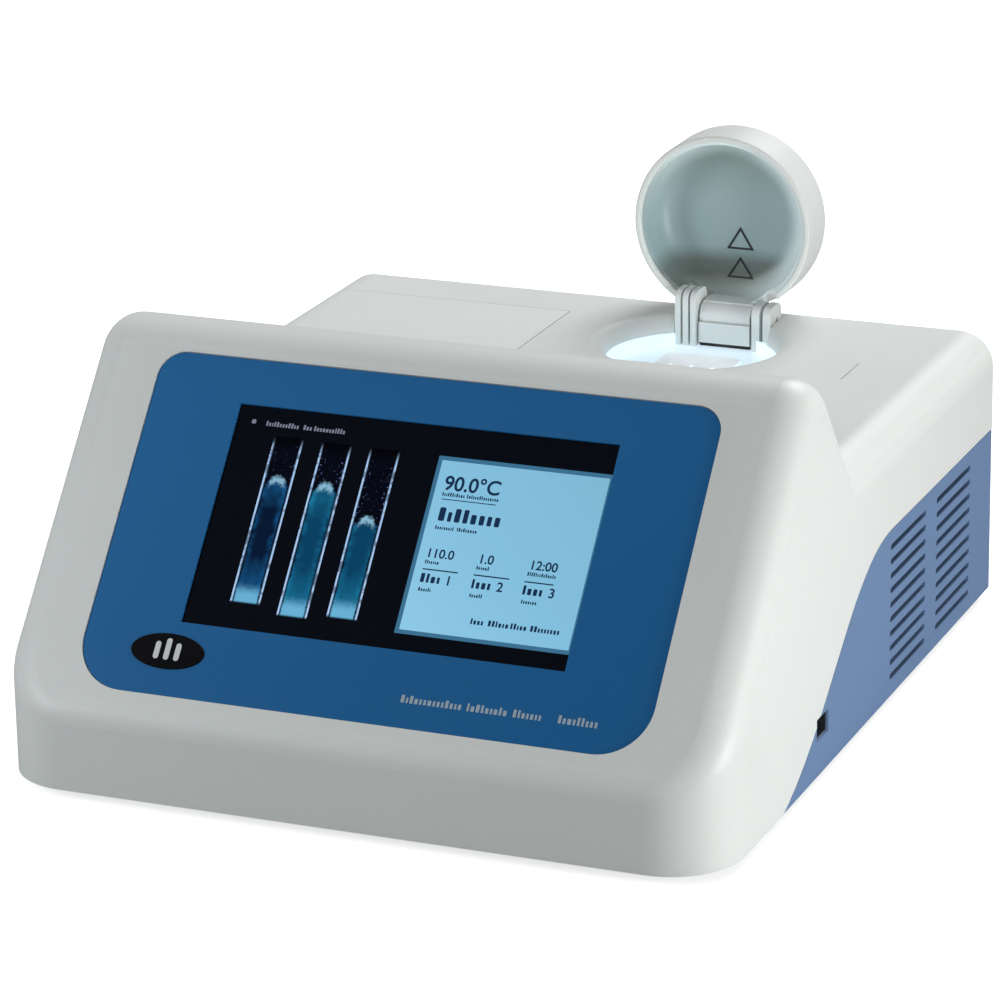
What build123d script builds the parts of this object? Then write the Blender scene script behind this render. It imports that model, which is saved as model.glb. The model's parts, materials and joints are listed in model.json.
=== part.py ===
from build123d import *
import os
from math import tan, sin, cos, radians, sqrt, pi

os.makedirs("parts", exist_ok=True)

# ------------------------------------------------------------------
# Automatic melting-point apparatus, millimetres, +Z up, front at -Y.
# The origin is on the bench, under the middle of the overall envelope,
# which takes in the open sample lid behind the body.
# ------------------------------------------------------------------

# ---- body ----
body_width = 291.0
body_depth = 334.0
foot_height = 4.0
deck_rise = 110.0        # flat rear deck above the underside
hood_rise = 165.0        # sharp ridge of the hood above the underside, before rounding
chin_rise = 32.0         # upright strip under the sloping face
face_tilt = 40.2         # lean of the face back from vertical, degrees
hood_back_run = 43.0     # how far the hood's back slope runs down to the deck
corner_r = 28.0          # front corners in plan
edge_r = 14.0            # soft edge round the face, hood and deck
ridge_r = 19.0           # rounding along the ridge
valley_r = 6.0           # where the hood meets the deck
wall = 3.2
sheet = 1.5              # steel sheet of chassis and rear panel

# ---- clearances ----
move_gap = 0.4           # between a moving piece and what it passes
seam = 0.3               # visible joint line between two fixed covers
run_fit = 0.06           # radial clearance of a pin in a turning bore

# ---- face ----
overlay_w = 228.0
overlay_h = 137.0
overlay_s = 80.0         # middle of the overlay, measured up the face from the chin
overlay_t = 1.0
overlay_sink = 0.7       # overlay surface below the housing surface
overlay_top_r = 10.5
overlay_low_r = 20.0
window_w = 154.0
window_h = 89.4
window_s = 85.6
glass_t = 1.1
glass_lip = 4.0          # glass hidden behind the overlay all round
lcd_t = 5.6
badge_w = 30.0
badge_h = 14.0
badge_x = -78.8
badge_s = 28.8
badge_t = 0.5

# ---- sample well and lid ----
well_x = 31.5
well_r = 35.0
roll_r = 7.0             # rolled edge of the deck into the well
well_depth = 12.0
liner_t = 1.5
lid_over = 3.3           # lid radius beyond the well's
lid_depth = 25.3
lid_wall = 2.6
lid_edge_r = 5.0
lid_sink = 1.0           # closed rim below the deck, inside the rolled edge
liner_gap_t = 1.4
pivot_from_back = 11.6
pivot_gap = 0.1          # closed lid in front of the hinge axis
pivot_rise = 0.3         # hinge axis above the deck
barrel_r = 5.5
pin_r = 1.5
lid_swing = 90.0
hinge_left = 13.4
hinge_right = 55.4
tongue_left = 23.2
tongue_right = 45.6
rib_t = 2.4
ear_rise = 10.9
ear_front = 8.0          # ears in front of the hinge axis
ear_back = 6.0

# ---- storage bay ----
bay_behind_hood = 13.0   # front edge of the lid behind the foot of the hood
bay_from_back = 25.8
bay_right_x = -30.9
bay_depth = 44.0
store_skirt = 17.0       # hinge axis below the deck
store_barrel_r = 3.2
store_swing = 88.0
nick_r = 5.0             # finger nick in the lid's right edge
nick_from_front = 30.0

# ---- side panels ----
panel_t = 2.5
panel_tip = 71.0         # from the front to the panel's low tip
panel_shoulder = 135.0   # from the back to the end of its straight top edge
panel_rise = 69.0        # top edge above the underside
slot_pitch = 5.97
slot_h = 2.4
slot_rows = 10
slot_low = 8.1           # lowest slot above the underside
slot_a = (136.5, 91.2)   # first column, from and to, measured from the back
slot_b = (76.6, 30.7)
port_from_front = 115.0
port_rise = 18.5
port_w = 13.4
port_h = 9.0

# ---- oven and camera ----
bore_r = 1.0
bore_pitch = 9.0
bore_depth = 27.0
cover_w = 33.0
cover_d = 34.0
cover_proud = 1.0
oven_w = 30.0
oven_d = 22.0
oven_h = 32.0
jacket_t = 7.0
heater_r = 3.0
lens_r = 8.0
lens_len = 18.0

# ---- power supply ----
supply_from_back = 125.6

# ---- fan ----
fan_size = 60.0
fan_t = 15.0
fan_rim = 2.0            # frame between its bore and its sides
fan_screw_inset = 5.0
fan_from_back = 54.0
blade_count = 7
guard_wire = 1.4

# ---- rear face ----
rear_open_w = 236.0
rear_open_h = 88.0
rear_lip = 5.0
inlet_x = -90.0
service_rise = 34.0      # middle of inlet, fuse drawer and switch above the underside
inlet_w = 24.6
inlet_h = 17.0
fuse_x = -64.0
fuse_w = 13.0
fuse_h = 20.0
fuse_travel = 20.0
rocker_x = -30.0
rocker_w = 12.0
rocker_h = 20.0
rocker_throw = 14.0
usb_w = 14.4
usb_h = 7.2

# ---- derived positions ----
side_x = body_width / 2
lid_overhang = lid_depth - pivot_rise - lid_sink - pivot_from_back
front_y = -(body_depth + lid_overhang) / 2
back_y = front_y + body_depth
base_z = foot_height
deck_z = base_z + deck_rise
apex_z = base_z + hood_rise
chin_z = base_z + chin_rise
apex_y = front_y + (apex_z - chin_z) * tan(radians(face_tilt))
hood_fall = (apex_z - deck_z) / hood_back_run
floor_z = base_z + sheet
lid_r = well_r + lid_over
well_z = deck_z - well_depth
pivot_y = back_y - pivot_from_back
well_y = pivot_y - pivot_gap - lid_r
pivot_z = deck_z + pivot_rise
rim_z = deck_z - lid_sink
hood_end_y = apex_y + hood_back_run
bay_front = hood_end_y + bay_behind_hood
bay_back = back_y - bay_from_back
bay_length = bay_back - bay_front
bay_mid = (bay_front + bay_back) / 2
nick_y = bay_front + nick_from_front
store_x = -side_x + store_barrel_r
store_z = deck_z - store_skirt
rear_y = back_y - wall - sheet
service_z = base_z + service_rise
fan_y = back_y - fan_from_back
fan_z = floor_z + fan_size / 2
fan_bore_r = fan_size / 2 - fan_rim
fan_spot = fan_size / 2 - fan_screw_inset
flange_x = side_x - panel_t - sheet
fan_face_x = flange_x - guard_wire - 0.2
overlay_floor = overlay_sink + overlay_t
block_top = well_z - 4.0
block_low = block_top - oven_h
bore_low = well_z + cover_proud - bore_depth


def block(x0, x1, y0, y1, z0, z1):
    """Box between two corners."""
    b = Box(x1 - x0, y1 - y0, z1 - z0)
    return b.moved(Location(((x0 + x1) / 2, (y0 + y1) / 2, (z0 + z1) / 2)))


def rod(r, start, end):
    """Round bar between two points on a line along X, Y or Z."""
    a, b = Vector(*start), Vector(*end)
    plane = Plane(origin=a, z_dir=(b - a).normalized())
    return extrude(plane * Circle(r), amount=(b - a).length)


def face_plane(s, depth=0.0, x=0.0):
    """Plane on the sloping face, s up the face from the chin, depth under its surface."""
    t = radians(face_tilt)
    y = front_y + s * sin(t) + depth * cos(t)
    z = chin_z + s * cos(t) - depth * sin(t)
    return Plane(origin=(x, y, z), x_dir=(1, 0, 0), z_dir=(0, -cos(t), sin(t)))


def face_slab(w, h, s, d0, d1, x=0.0):
    """Rectangular slab lying under the face, from depth d0 to the greater depth d1."""
    return extrude(face_plane(s, d1, x) * Rectangle(w, h), amount=d1 - d0)


def hood(inset):
    """Wedge-shaped front of the body, drawn in from the outside by inset."""
    low = base_z - 2 * inset
    end_y = apex_y + (apex_z - low) / hood_fall
    outline = make_face(Polyline((front_y, low), (front_y, chin_z), (apex_y, apex_z),
                                 (end_y, low), close=True))
    outline = Plane.YZ * outline
    if inset:
        outline = offset(outline, amount=-inset, kind=Kind.INTERSECTION)
    outline = Sketch() + outline
    ridge = outline.vertices().sort_by(Axis.Z)[-1]
    body = extrude(fillet(ridge, ridge_r - inset), amount=side_x - inset, both=True)
    upright = [e for e in body.edges().filter_by(Axis.Z) if e.center().Y < front_y + inset + 1]
    body = fillet(upright, corner_r - inset)
    soft = []
    for e in body.edges():
        size = e.bounding_box().size
        at_side = size.X < 0.01 and size.Y > 1 and size.Z > 1
        corner = size.X > 1 and size.X < 2 * corner_r and size.Z > 1
        chin = size.X > 100 and abs(e.center().Z - chin_z) < 20 and e.center().Y < apex_y
        if at_side or corner or chin:
            soft.append(e)
    return fillet(soft, edge_r - inset)


def deck(inset):
    """Flat rear part of the body, drawn in by inset."""
    body = block(-side_x + inset, side_x - inset, apex_y - 10, back_y - inset,
                 base_z - inset, deck_z - inset)
    top = [e for e in body.edges().filter_by(Axis.Y) if e.center().Z > deck_z - inset - 1]
    return fillet(top, edge_r - inset)


def hull(inset):
    """Whole outside form of the body, drawn in by inset."""
    body = hood(inset) + deck(inset)
    crease = [e for e in body.edges().filter_by(Axis.X)
              if abs(e.center().Z - (deck_z - inset)) < 0.5 and e.center().Y > apex_y + 20
              and e.center().Y < bay_front]
    return fillet(crease, valley_r + inset)


outer = hull(0.0)
inner = hull(wall)


def panel_outline(grow):
    """Side panel outline in the YZ plane, grown outwards by grow."""
    top = base_z + panel_rise + grow
    shoulder = back_y - panel_shoulder
    tip = front_y + panel_tip - 2.2 * grow
    run = shoulder - front_y - panel_tip
    sweep = Bezier((shoulder, top), (shoulder - 0.375 * run - grow, top),
                   (tip + 0.42 * run - grow, base_z + 0.26 * panel_rise),
                   (tip, base_z))
    edges = Polyline((tip, base_z), (back_y, base_z), (back_y, top), (shoulder, top))
    return Plane.YZ * make_face(sweep + edges)


def panel_blank(x0, x1, grow=0.0):
    """Solid with the side panel outline, from x0 out to x1."""
    return extrude(panel_outline(grow), amount=x1 - x0).moved(Location((x0, 0, 0)))


def port_hole(grow=0.0):
    """Side data port opening through the right wall."""
    y, z = front_y + port_from_front, base_z + port_rise
    w, h = port_w / 2 + grow, port_h / 2 + grow
    return block(side_x - 16, side_x + 1, y - w, y + w, z - h, z + h)


def slots():
    """Vent slots of one side panel, as cutting bars at x = 0."""
    bars = Part()
    for start, end in (slot_a, slot_b):
        for row in range(slot_rows):
            z = base_z + slot_low + row * slot_pitch
            middle = back_y - (start + end) / 2
            plane = Plane(origin=(-5, middle, z), x_dir=(0, 1, 0), z_dir=(1, 0, 0))
            bars += extrude(plane * SlotOverall(start - end, slot_h), amount=10)
    return bars


def side_panel(side):
    """Painted side panel with two columns of vents, right one (side=1) or its mirror."""
    panel = panel_blank(side_x - panel_t, side_x)
    panel -= slots().moved(Location((side_x, 0, 0)))
    rear = [e for e in panel.edges().filter_by(Axis.Z) if e.center().Y > back_y - 1
            and e.center().X > side_x - 1]
    panel = chamfer(rear, 0.8)
    if side > 0:
        return panel - port_hole()
    return mirror(panel, about=Plane.YZ)


def chassis():
    """Steel tray under everything, with upturned sides that carry the side panels."""
    tray = inner & block(-side_x, side_x, front_y, rear_y, base_z, floor_z)
    for side in (-1, 1):
        a, b = sorted((side * flange_x, side * (flange_x + sheet)))
        y0 = front_y + panel_tip + 60
        wing = panel_blank(flange_x, flange_x + sheet, -5.0)
        if side < 0:
            wing = mirror(wing, about=Plane.YZ)
        wing &= block(a, b, y0, rear_y, base_z, base_z + panel_rise)
        window = block(a - 1, b + 1, back_y - slot_a[0] - 5, back_y - slot_b[1] + 5,
                       base_z + slot_low - 4, base_z + panel_rise)
        tray += wing - window
    for x, y in foot_spots():
        tray -= rod(2.0, (x, y, base_z - 1), (x, y, floor_z + 1))
    return tray


def foot_spots():
    """Plan positions of the four feet."""
    x = side_x - 26
    return [(sx * x, y) for sx in (-1, 1) for y in (front_y + 34, back_y - 26)]


def feet():
    """Four rubber feet."""
    pads = Part()
    for x, y in foot_spots():
        pad = rod(9.0, (x, y, 0), (x, y, base_z))
        pad = fillet(pad.edges().sort_by(Axis.Z)[0], 1.0)
        pads += pad - rod(2.0, (x, y, 1.6), (x, y, base_z + 1))
    return pads


def foot_screws():
    """Screws that hold the feet."""
    screws = Part()
    for x, y in foot_spots():
        shank = rod(2.0, (x, y, 1.6), (x, y, floor_z))
        head = fillet(rod(3.6, (x, y, floor_z), (x, y, floor_z + 2)).edges().sort_by(Axis.Z)[-1], 0.8)
        slot = block(x - 2.5, x + 2.5, y - 0.4, y + 0.4, floor_z + 1.2, floor_z + 3)
        screws += shank + head - slot
    return screws


def bay_region(gap, low):
    """Part of the body taken up by the storage lid, from height low upwards."""
    return block(-side_x - 1, bay_right_x - gap, bay_front + gap, bay_back - gap, low, deck_z + 1)


def well_axis_rod(r, z0, z1):
    """Round bar on the well's axis."""
    return rod(r, (well_x, well_y, z0), (well_x, well_y, z1))


def well_cutter():
    """Hollow of the sample well with its rolled edge."""
    roll = Plane(origin=(well_x, well_y, deck_z), x_dir=(1, 0, 0), z_dir=(0, -1, 0))
    quarter = ThreePointArc((well_r + roll_r, 0),
                            (well_r + roll_r * (1 - sin(pi / 4)), -roll_r * (1 - cos(pi / 4))),
                            (well_r, -roll_r))
    side = Polyline((well_r, -roll_r), (0, -roll_r), (0, 5), (well_r + roll_r, 5),
                    (well_r + roll_r, 0))
    funnel = revolve(roll * make_face(quarter + side), Axis((well_x, well_y, 0), (0, 0, 1)))
    return funnel + well_axis_rod(well_r + liner_t, well_z - 5, deck_z - roll_r)


def hinge_notch():
    """Pocket behind the well for the lid hinge."""
    return block(hinge_left - seam, hinge_right + seam, well_y, pivot_y + ear_back + seam,
                 well_z - 5, deck_z + 1)


def shell():
    """Moulded top housing: hood, deck and the walls above the side panels."""
    body = outer - inner
    ring = well_axis_rod(well_r + roll_r + 3, well_z - 0.6, deck_z - 1) & outer
    body += ring
    boss = block(-side_x + 0.6, store_x + 6, bay_front - 9, bay_front, store_z - 6, store_z + 6)
    body += boss + boss.moved(Location((0, bay_length + 9, 0)))
    body -= well_cutter() + hinge_notch()
    body -= rod(pin_r, (store_x, bay_front - 7, store_z), (store_x, bay_back + 7, store_z))
    body -= bay_region(0, store_z - store_barrel_r - move_gap)
    for side in (-1, 1):
        cut = panel_blank(side_x - wall - 0.1, side_x + 1, seam)
        if side < 0:
            cut = mirror(cut, about=Plane.YZ)
        body -= cut
    body -= port_hole()
    face = face_plane(overlay_s, overlay_floor) * overlay_sketch(seam)
    body -= extrude(face, amount=20)
    glass_w, glass_h = window_w + 2 * glass_lip, window_h + 2 * glass_lip
    body -= face_slab(glass_w, glass_h, window_s, 0, wall + 1)
    body -= block(-rear_open_w / 2, rear_open_w / 2, back_y - wall - 1, back_y + 1,
                  base_z - 1, base_z + rear_open_h)
    groove = block(106, 106.6, well_y - 31, well_y - 8, deck_z - 0.6, deck_z + 1)
    body -= groove
    return body


def overlay_sketch(grow=0.0):
    """Outline of the face overlay: tight upper corners, generous lower ones."""
    w, h = overlay_w + 2 * grow, overlay_h + 2 * grow
    outline = Sketch() + Rectangle(w, h)
    upper = [v for v in outline.vertices() if v.Y > 0]
    outline = fillet(upper, overlay_top_r + grow)
    lower = [v for v in outline.vertices() if v.Y < -h / 2 + 0.01]
    return fillet(lower, overlay_low_r + grow)


def overlay():
    """Blue face overlay with the display window and a shallow seat for the badge."""
    plate = extrude(face_plane(overlay_s, overlay_floor) * overlay_sketch(), amount=overlay_t)
    return plate - face_slab(window_w, window_h, window_s, 0, overlay_floor + 1)


def badge():
    """Small blank badge plate on the overlay."""
    outline = Ellipse(badge_w / 2, badge_h / 2)
    plate = extrude(face_plane(badge_s, overlay_sink, badge_x) * outline, amount=badge_t)
    top = plate.faces().sort_by(Axis((0, 0, 0), (0, -cos(radians(face_tilt)),
                                                 sin(radians(face_tilt)))))[-1]
    return chamfer(top.edges(), 0.2)


def touch_glass():
    """Cover glass of the touch display, held behind the overlay's window."""
    return face_slab(window_w + 2 * glass_lip - 0.2, window_h + 2 * glass_lip - 0.2, window_s,
                     overlay_floor, overlay_floor + glass_t)


def lcd_depth():
    """Depth under the face of the display module's front and back."""
    front = overlay_floor + glass_t
    return front, front + lcd_t


def lcd_module():
    """Display module behind the glass."""
    d0, d1 = lcd_depth()
    case = face_slab(window_w + 6, window_h + 6, window_s, d0, d1)
    return case - face_slab(26, 12, window_s - window_h / 2 + 12, d1 - 2, d1 + 1, 40)


def lcd_bracket():
    """Steel frame that holds the display against the housing."""
    d1 = lcd_depth()[1]
    w, h = window_w + 26, window_h + 22
    plate = face_slab(w, h, window_s, d1, d1 + sheet)
    plate -= face_slab(window_w - 24, window_h - 20, window_s, d1 - 1, d1 + sheet + 1)
    for sx in (-1, 1):
        for sy in (-1, 1):
            x, s = sx * (w / 2 - 5), window_s + sy * (h / 2 - 5)
            post = face_plane(s, d1, x) * Circle(3.5)
            plate += extrude(post, amount=d1 - wall)
    return plate


def display_board():
    """Display driver board on the back of the display frame."""
    d = lcd_depth()[1] + sheet
    board = face_slab(120, 74, window_s, d + 6, d + 7.6)
    for x, s in ((-50, -28), (50, -28), (-50, 28), (50, 28)):
        plane = face_plane(window_s + s, d + 6, x)
        board += extrude(plane * Circle(2.5), amount=6 + sheet)
    for x, s, w, h in ((-20, 6, 22, 22), (18, 12, 14, 10), (30, -18, 18, 8), (-38, -16, 10, 12)):
        board += face_slab(w, h, window_s + s, d + 7.6, d + 10, x)
    return board


def store_lid():
    """Storage bay lid: a piece of the deck skin with a hinge barrel along its left edge."""
    skin = outer - hull(wall - move_gap)
    lid = skin & bay_region(move_gap, store_z)
    y0, y1 = bay_front + move_gap, bay_back - move_gap
    lid += rod(store_barrel_r, (store_x, y0, store_z), (store_x, y1, store_z))
    lid -= rod(pin_r + run_fit, (store_x, y0 - 1, store_z), (store_x, y1 + 1, store_z))
    nick = rod(nick_r, (bay_right_x - move_gap, nick_y, deck_z - 4.6),
               (bay_right_x - move_gap, nick_y, deck_z + 1))
    stiffener = block(store_x + 10, bay_right_x - 12, bay_mid - 1, bay_mid + 1,
                      deck_z - wall - 3, deck_z - 1)
    return lid - nick + stiffener


def store_pin():
    """Long steel pin of the storage lid."""
    return rod(pin_r, (store_x, bay_front - 7, store_z), (store_x, bay_back + 7, store_z))


def store_tray():
    """Bin under the storage lid, hung on the underside of the deck."""
    x0, x1 = store_x + store_barrel_r + 4, bay_right_x - 5
    y0, y1 = bay_front + 5, bay_back - 5
    top = deck_z - wall
    bin_low = top - bay_depth
    bin_ = block(x0, x1, y0, y1, bin_low, top - 5) - block(x0 + 2, x1 - 2, y0 + 2, y1 - 2,
                                                          bin_low + 2, top)
    rim = block(x0, bay_right_x + 6, bay_front - 6, bay_back + 6, top - 7, top - 5)
    rim -= block(x0 + 2, x1 - 2, y0 + 2, y1 - 2, top - 8, top)
    flat_x = -side_x + edge_r + 1
    hang = block(flat_x, bay_right_x + 6, bay_front - 6, bay_back + 6, top - 7, top)
    hang -= block(flat_x - 1, bay_right_x + 2, bay_front - 2, bay_back + 2, top - 8, top + 1)
    return bin_ + rim + hang


def well_liner():
    """Translucent cup of the lit sample well."""
    cup = well_axis_rod(well_r + liner_t, well_z - liner_t, deck_z - roll_r)
    cup -= well_axis_rod(well_r, well_z, deck_z)
    cup -= cover_blank(well_z - 3, well_z + 3)
    notch = block(hinge_left - seam, hinge_right + seam, pivot_y - ear_front - seam, back_y,
                  well_z, deck_z)
    return cup - notch


def cover_blank(z0, z1):
    """Square outline of the oven cover between two heights."""
    box = block(well_x - cover_w / 2, well_x + cover_w / 2, well_y - cover_d / 2,
                well_y + cover_d / 2, z0, z1)
    return fillet(box.edges().filter_by(Axis.Z), 2.5)


def bore_rods(r, z0, z1):
    """Three upright rods where the capillary tubes go."""
    rods = Part()
    for i in (-1, 0, 1):
        x = well_x + i * bore_pitch
        rods += rod(r, (x, well_y, z0), (x, well_y, z1))
    return rods


def block_cover():
    """Ceramic cover of the oven, with the three tube bores."""
    top = well_z + cover_proud
    plate = cover_blank(block_top, top)
    plate = chamfer(plate.faces().sort_by(Axis.Z)[-1].edges(), 0.5)
    return plate - bore_rods(bore_r, block_top - 1, top + 1)


def oven_block():
    """Aluminium oven with three bores right through it and a viewing slot."""
    body = block(well_x - oven_w / 2, well_x + oven_w / 2, well_y - oven_d / 2,
                 well_y + oven_d / 2, bore_low, block_top)
    body -= bore_rods(bore_r, bore_low - 1, block_top + 1)
    slot = block(well_x - 12, well_x + 12, well_y - oven_d / 2 - 1, well_y,
                 block_top - 18, block_top - 8)
    body -= slot
    body -= rod(1.5, (well_x, well_y + oven_d / 2 - 6, block_top - 13),
                (well_x, well_y + oven_d / 2 + 1, block_top - 13))
    return body


def oven_base():
    """Lower half of the oven: it closes the bores and holds the heaters."""
    return block(well_x - oven_w / 2, well_x + oven_w / 2, well_y - oven_d / 2,
                 well_y + oven_d / 2, block_low, bore_low) - heater_rods(1)


def heater_rods(extra):
    """Two level rods across the oven base, longer by extra at each end."""
    pair = Part()
    z = (block_low + bore_low) / 2
    for y in (-6, 6):
        pair += rod(heater_r, (well_x - oven_w / 2 - extra, well_y + y, z),
                    (well_x + oven_w / 2 + extra, well_y + y, z))
    return pair


def heaters():
    """Two cartridge heaters through the oven base."""
    return heater_rods(0)


def sensor():
    """Temperature sensor in the back of the oven."""
    y0 = well_y + oven_d / 2 - 6
    return rod(1.5, (well_x, y0, block_top - 13), (well_x, well_y + oven_d / 2, block_top - 13))


def jacket_box():
    """Outer limits of the insulating jacket: x0, x1, y0, y1, z0, z1."""
    return (well_x - oven_w / 2 - jacket_t, well_x + oven_w / 2 + jacket_t,
            well_y - oven_d / 2 - jacket_t, well_y + oven_d / 2 + jacket_t,
            block_low - jacket_t, block_top - 1.0)


def jacket():
    """Insulating jacket round the oven, open at the viewing window."""
    x0, x1, y0, y1, z0, z1 = jacket_box()
    body = block(x0, x1, y0, y1, z0, z1)
    body -= block(well_x - oven_w / 2, well_x + oven_w / 2, well_y - oven_d / 2,
                  well_y + oven_d / 2, block_low, z1 + 1)
    window = block(well_x - 13, well_x + 13, y0 - 1, well_y - oven_d / 2,
                   block_top - 19, block_top - 7)
    return body - window


def oven_window():
    """Glass plate in the jacket in front of the viewing slot."""
    y1 = well_y - oven_d / 2
    return block(well_x - 13, well_x + 13, y1 - 2, y1, block_top - 19, block_top - 7)


def oven_stand():
    """Folded steel stand that carries the oven over the chassis."""
    x0, x1, y0, y1, z0, _ = jacket_box()
    stand = block(x0, x1, y0, y1, z0 - sheet, z0)
    stand += block(x0, x0 + sheet, y0, y1, floor_z, z0 - sheet)
    stand += block(x1 - sheet, x1, y0, y1, floor_z, z0 - sheet)
    stand += block(x0 - 8, x0, y0, y1, floor_z, floor_z + sheet)
    stand += block(x1, x1 + 8, y0, y1, floor_z, floor_z + sheet)
    return stand


def camera_y():
    """Front face of the camera bracket's upright."""
    return jacket_box()[2] - lens_len - 10


def camera_bracket():
    """Folded upright for the camera in front of the oven."""
    y = camera_y()
    x0, x1 = well_x - 20, well_x + 20
    plate = block(x0, x1, y, y + sheet, floor_z, block_top - 1)
    plate += block(x0, x1, y - 16, y, floor_z, floor_z + sheet)
    return plate


def camera_board():
    """Camera circuit board."""
    y, z = camera_y() + sheet, block_top - 13
    board = block(well_x - 16, well_x + 16, y, y + 1.6, z - 12, z + 12)
    for x in (-12, 9):
        board += block(well_x + x, well_x + x + 3, y + 1.6, y + 2.8, z + 4, z + 8)
    return board


def camera_lens():
    """Stepped lens barrel of the camera."""
    y, z = camera_y() + sheet + 1.6, block_top - 13
    barrel = rod(lens_r, (well_x, y, z), (well_x, y + lens_len * 0.6, z))
    barrel += rod(lens_r - 2, (well_x, y, z), (well_x, y + lens_len, z))
    return barrel - rod(lens_r - 4, (well_x, y + lens_len - 3, z), (well_x, y + lens_len + 1, z))


def lamp_ring():
    """Ring of lamps round the camera lens."""
    y, z = camera_y() + sheet + 1.6, block_top - 13
    ring = rod(lens_r + 3.5, (well_x, y + 4, z), (well_x, y + 5.6, z))
    ring -= rod(lens_r, (well_x, y - 1, z), (well_x, y + 9, z))
    for i in range(8):
        a = i * pi / 4
        x, zz = well_x + (lens_r + 1.8) * cos(a), z + (lens_r + 1.8) * sin(a)
        ring += rod(0.9, (x, y + 5.6, zz), (x, y + 6.6, zz))
    return ring


def hinge_bracket():
    """Fixed half of the sample lid hinge: a block behind the well with ribbed ears."""
    y0, y1 = pivot_y - ear_front, pivot_y + ear_back
    low = deck_z - 3.6
    base = block(hinge_left, hinge_right, pivot_y - 3, y1, well_z, low)
    base -= barrel_room()
    top = pivot_z + ear_rise
    ears = [hinge_left + i * (rib_t + 0.95) for i in range(3)]
    ears += [tongue_right + 1.5, hinge_right - 3.4]
    for n, x in enumerate(ears):
        rise = top if n < 3 else top - 4
        width = rib_t if n < 3 else 3.4
        rib = block(x, x + width, y0, y1, well_z, rise)
        crest = [e for e in rib.edges().filter_by(Axis.X) if e.center().Z > rise - 1]
        base += fillet(crest, 4.0)
    base += block(hinge_left, hinge_left + 3 * rib_t + 1.9, pivot_y - 2, y1, well_z, pivot_z + 3)
    base += block(tongue_right + 1.5, hinge_right, pivot_y - 2, y1, well_z, pivot_z + 3)
    axle = rod(pin_r, (hinge_left, pivot_y, pivot_z), (hinge_right, pivot_y, pivot_z))
    return base - axle


def barrel_room():
    """Space that the lid's hinge barrel turns in."""
    return rod(barrel_r + move_gap, (tongue_left - move_gap, pivot_y, pivot_z),
               (tongue_right + move_gap, pivot_y, pivot_z))


def hinge_block():
    """Front cheek of the hinge: it carries the line of the lid's tongue down into the well."""
    front = pivot_y - barrel_r - move_gap
    cheek = block(tongue_left, tongue_right, front - 0.5, pivot_y - 3, well_z + 1.6, pivot_z - 2)
    return cheek - barrel_room()


def hinge_pin():
    """Pin of the sample lid hinge."""
    return rod(pin_r, (hinge_left, pivot_y, pivot_z), (hinge_right, pivot_y, pivot_z))


def opened(piece):
    """Turn a lid piece from closed to fully open, the pose the part rests in."""
    return piece.rotate(Axis((0, pivot_y, pivot_z), (1, 0, 0)), -lid_swing)


def ear_slots():
    """Room for the hinge ears in the closed lid's rear wall."""
    up = pivot_z + 13.8
    rear = pivot_y + 3
    cut = block(hinge_left - move_gap, tongue_left - 0.2, pivot_y - 15, rear, rim_z - 5, up)
    cut += block(tongue_right + 0.6, hinge_right + move_gap, pivot_y - 15, rear, rim_z - 5, up)
    return cut


def lid_shell():
    """Sample lid: round cup with a soft top edge and the hinge tongue, shown open."""
    cup = well_axis_rod(lid_r, rim_z, rim_z + lid_depth)
    cup = fillet(cup.edges().sort_by(Axis.Z)[-1], lid_edge_r)
    hollow = well_axis_rod(lid_r - lid_wall, rim_z - 1, rim_z + lid_depth - lid_wall)
    hollow = fillet(hollow.edges().sort_by(Axis.Z)[-1], lid_edge_r - lid_wall)
    cup -= hollow
    rim = [e for e in cup.edges() if e.geom_type == GeomType.CIRCLE and abs(e.center().Z - rim_z) < 0.1]
    cup = fillet(rim, 0.9)
    barrel = rod(barrel_r, (tongue_left + 0.2, pivot_y, pivot_z),
                 (tongue_right - 0.2, pivot_y, pivot_z))
    web = block(tongue_left + 0.2, tongue_right - 0.2, pivot_y - 6, pivot_y, pivot_z - 1, pivot_z + 9)
    web &= well_axis_rod(lid_r, rim_z, rim_z + lid_depth)
    bore = rod(pin_r + run_fit, (hinge_left, pivot_y, pivot_z), (hinge_right, pivot_y, pivot_z))
    return opened(cup - ear_slots() + barrel + web - bore)


def lid_liner():
    """Dished inner lining of the sample lid."""
    r = lid_r - lid_wall
    top = rim_z + lid_depth - lid_wall
    dish = well_axis_rod(r, rim_z + 2.0, top)
    dish = fillet(dish.edges().sort_by(Axis.Z)[-1], lid_edge_r - lid_wall)
    hollow = well_axis_rod(r - liner_gap_t, rim_z, top - liner_gap_t)
    hollow = fillet(hollow.edges().sort_by(Axis.Z)[-1], 9.0)
    dish -= hollow
    dish -= block(tongue_left - 1, tongue_right + 1, pivot_y - 6.1, pivot_y + 9,
                  rim_z - 1, pivot_z + 9.1)
    return opened(dish - ear_slots())


def rear_panel():
    """Steel panel behind the opening in the housing's rear wall."""
    w = rear_open_w / 2 + rear_lip
    panel = block(-w, w, rear_y, rear_y + sheet, floor_z, base_z + rear_open_h + rear_lip)
    panel -= service_hole()
    panel -= switch_hole()
    for x in usb_spots():
        panel -= block(x - usb_w / 2, x + usb_w / 2, rear_y - 1, rear_y + sheet + 1,
                       service_z - usb_h / 2, service_z + usb_h / 2)
    for x, z in panel_screw_spots():
        panel -= rod(1.6, (x, rear_y - 1, z), (x, rear_y + sheet + 1, z))
    return panel


def panel_screw_spots():
    """Rear panel screws, in x and z."""
    w = rear_open_w / 2 - 6
    return [(x, z) for x in (-w, 0, w) for z in (base_z + 10, base_z + rear_open_h - 8)]


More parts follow.
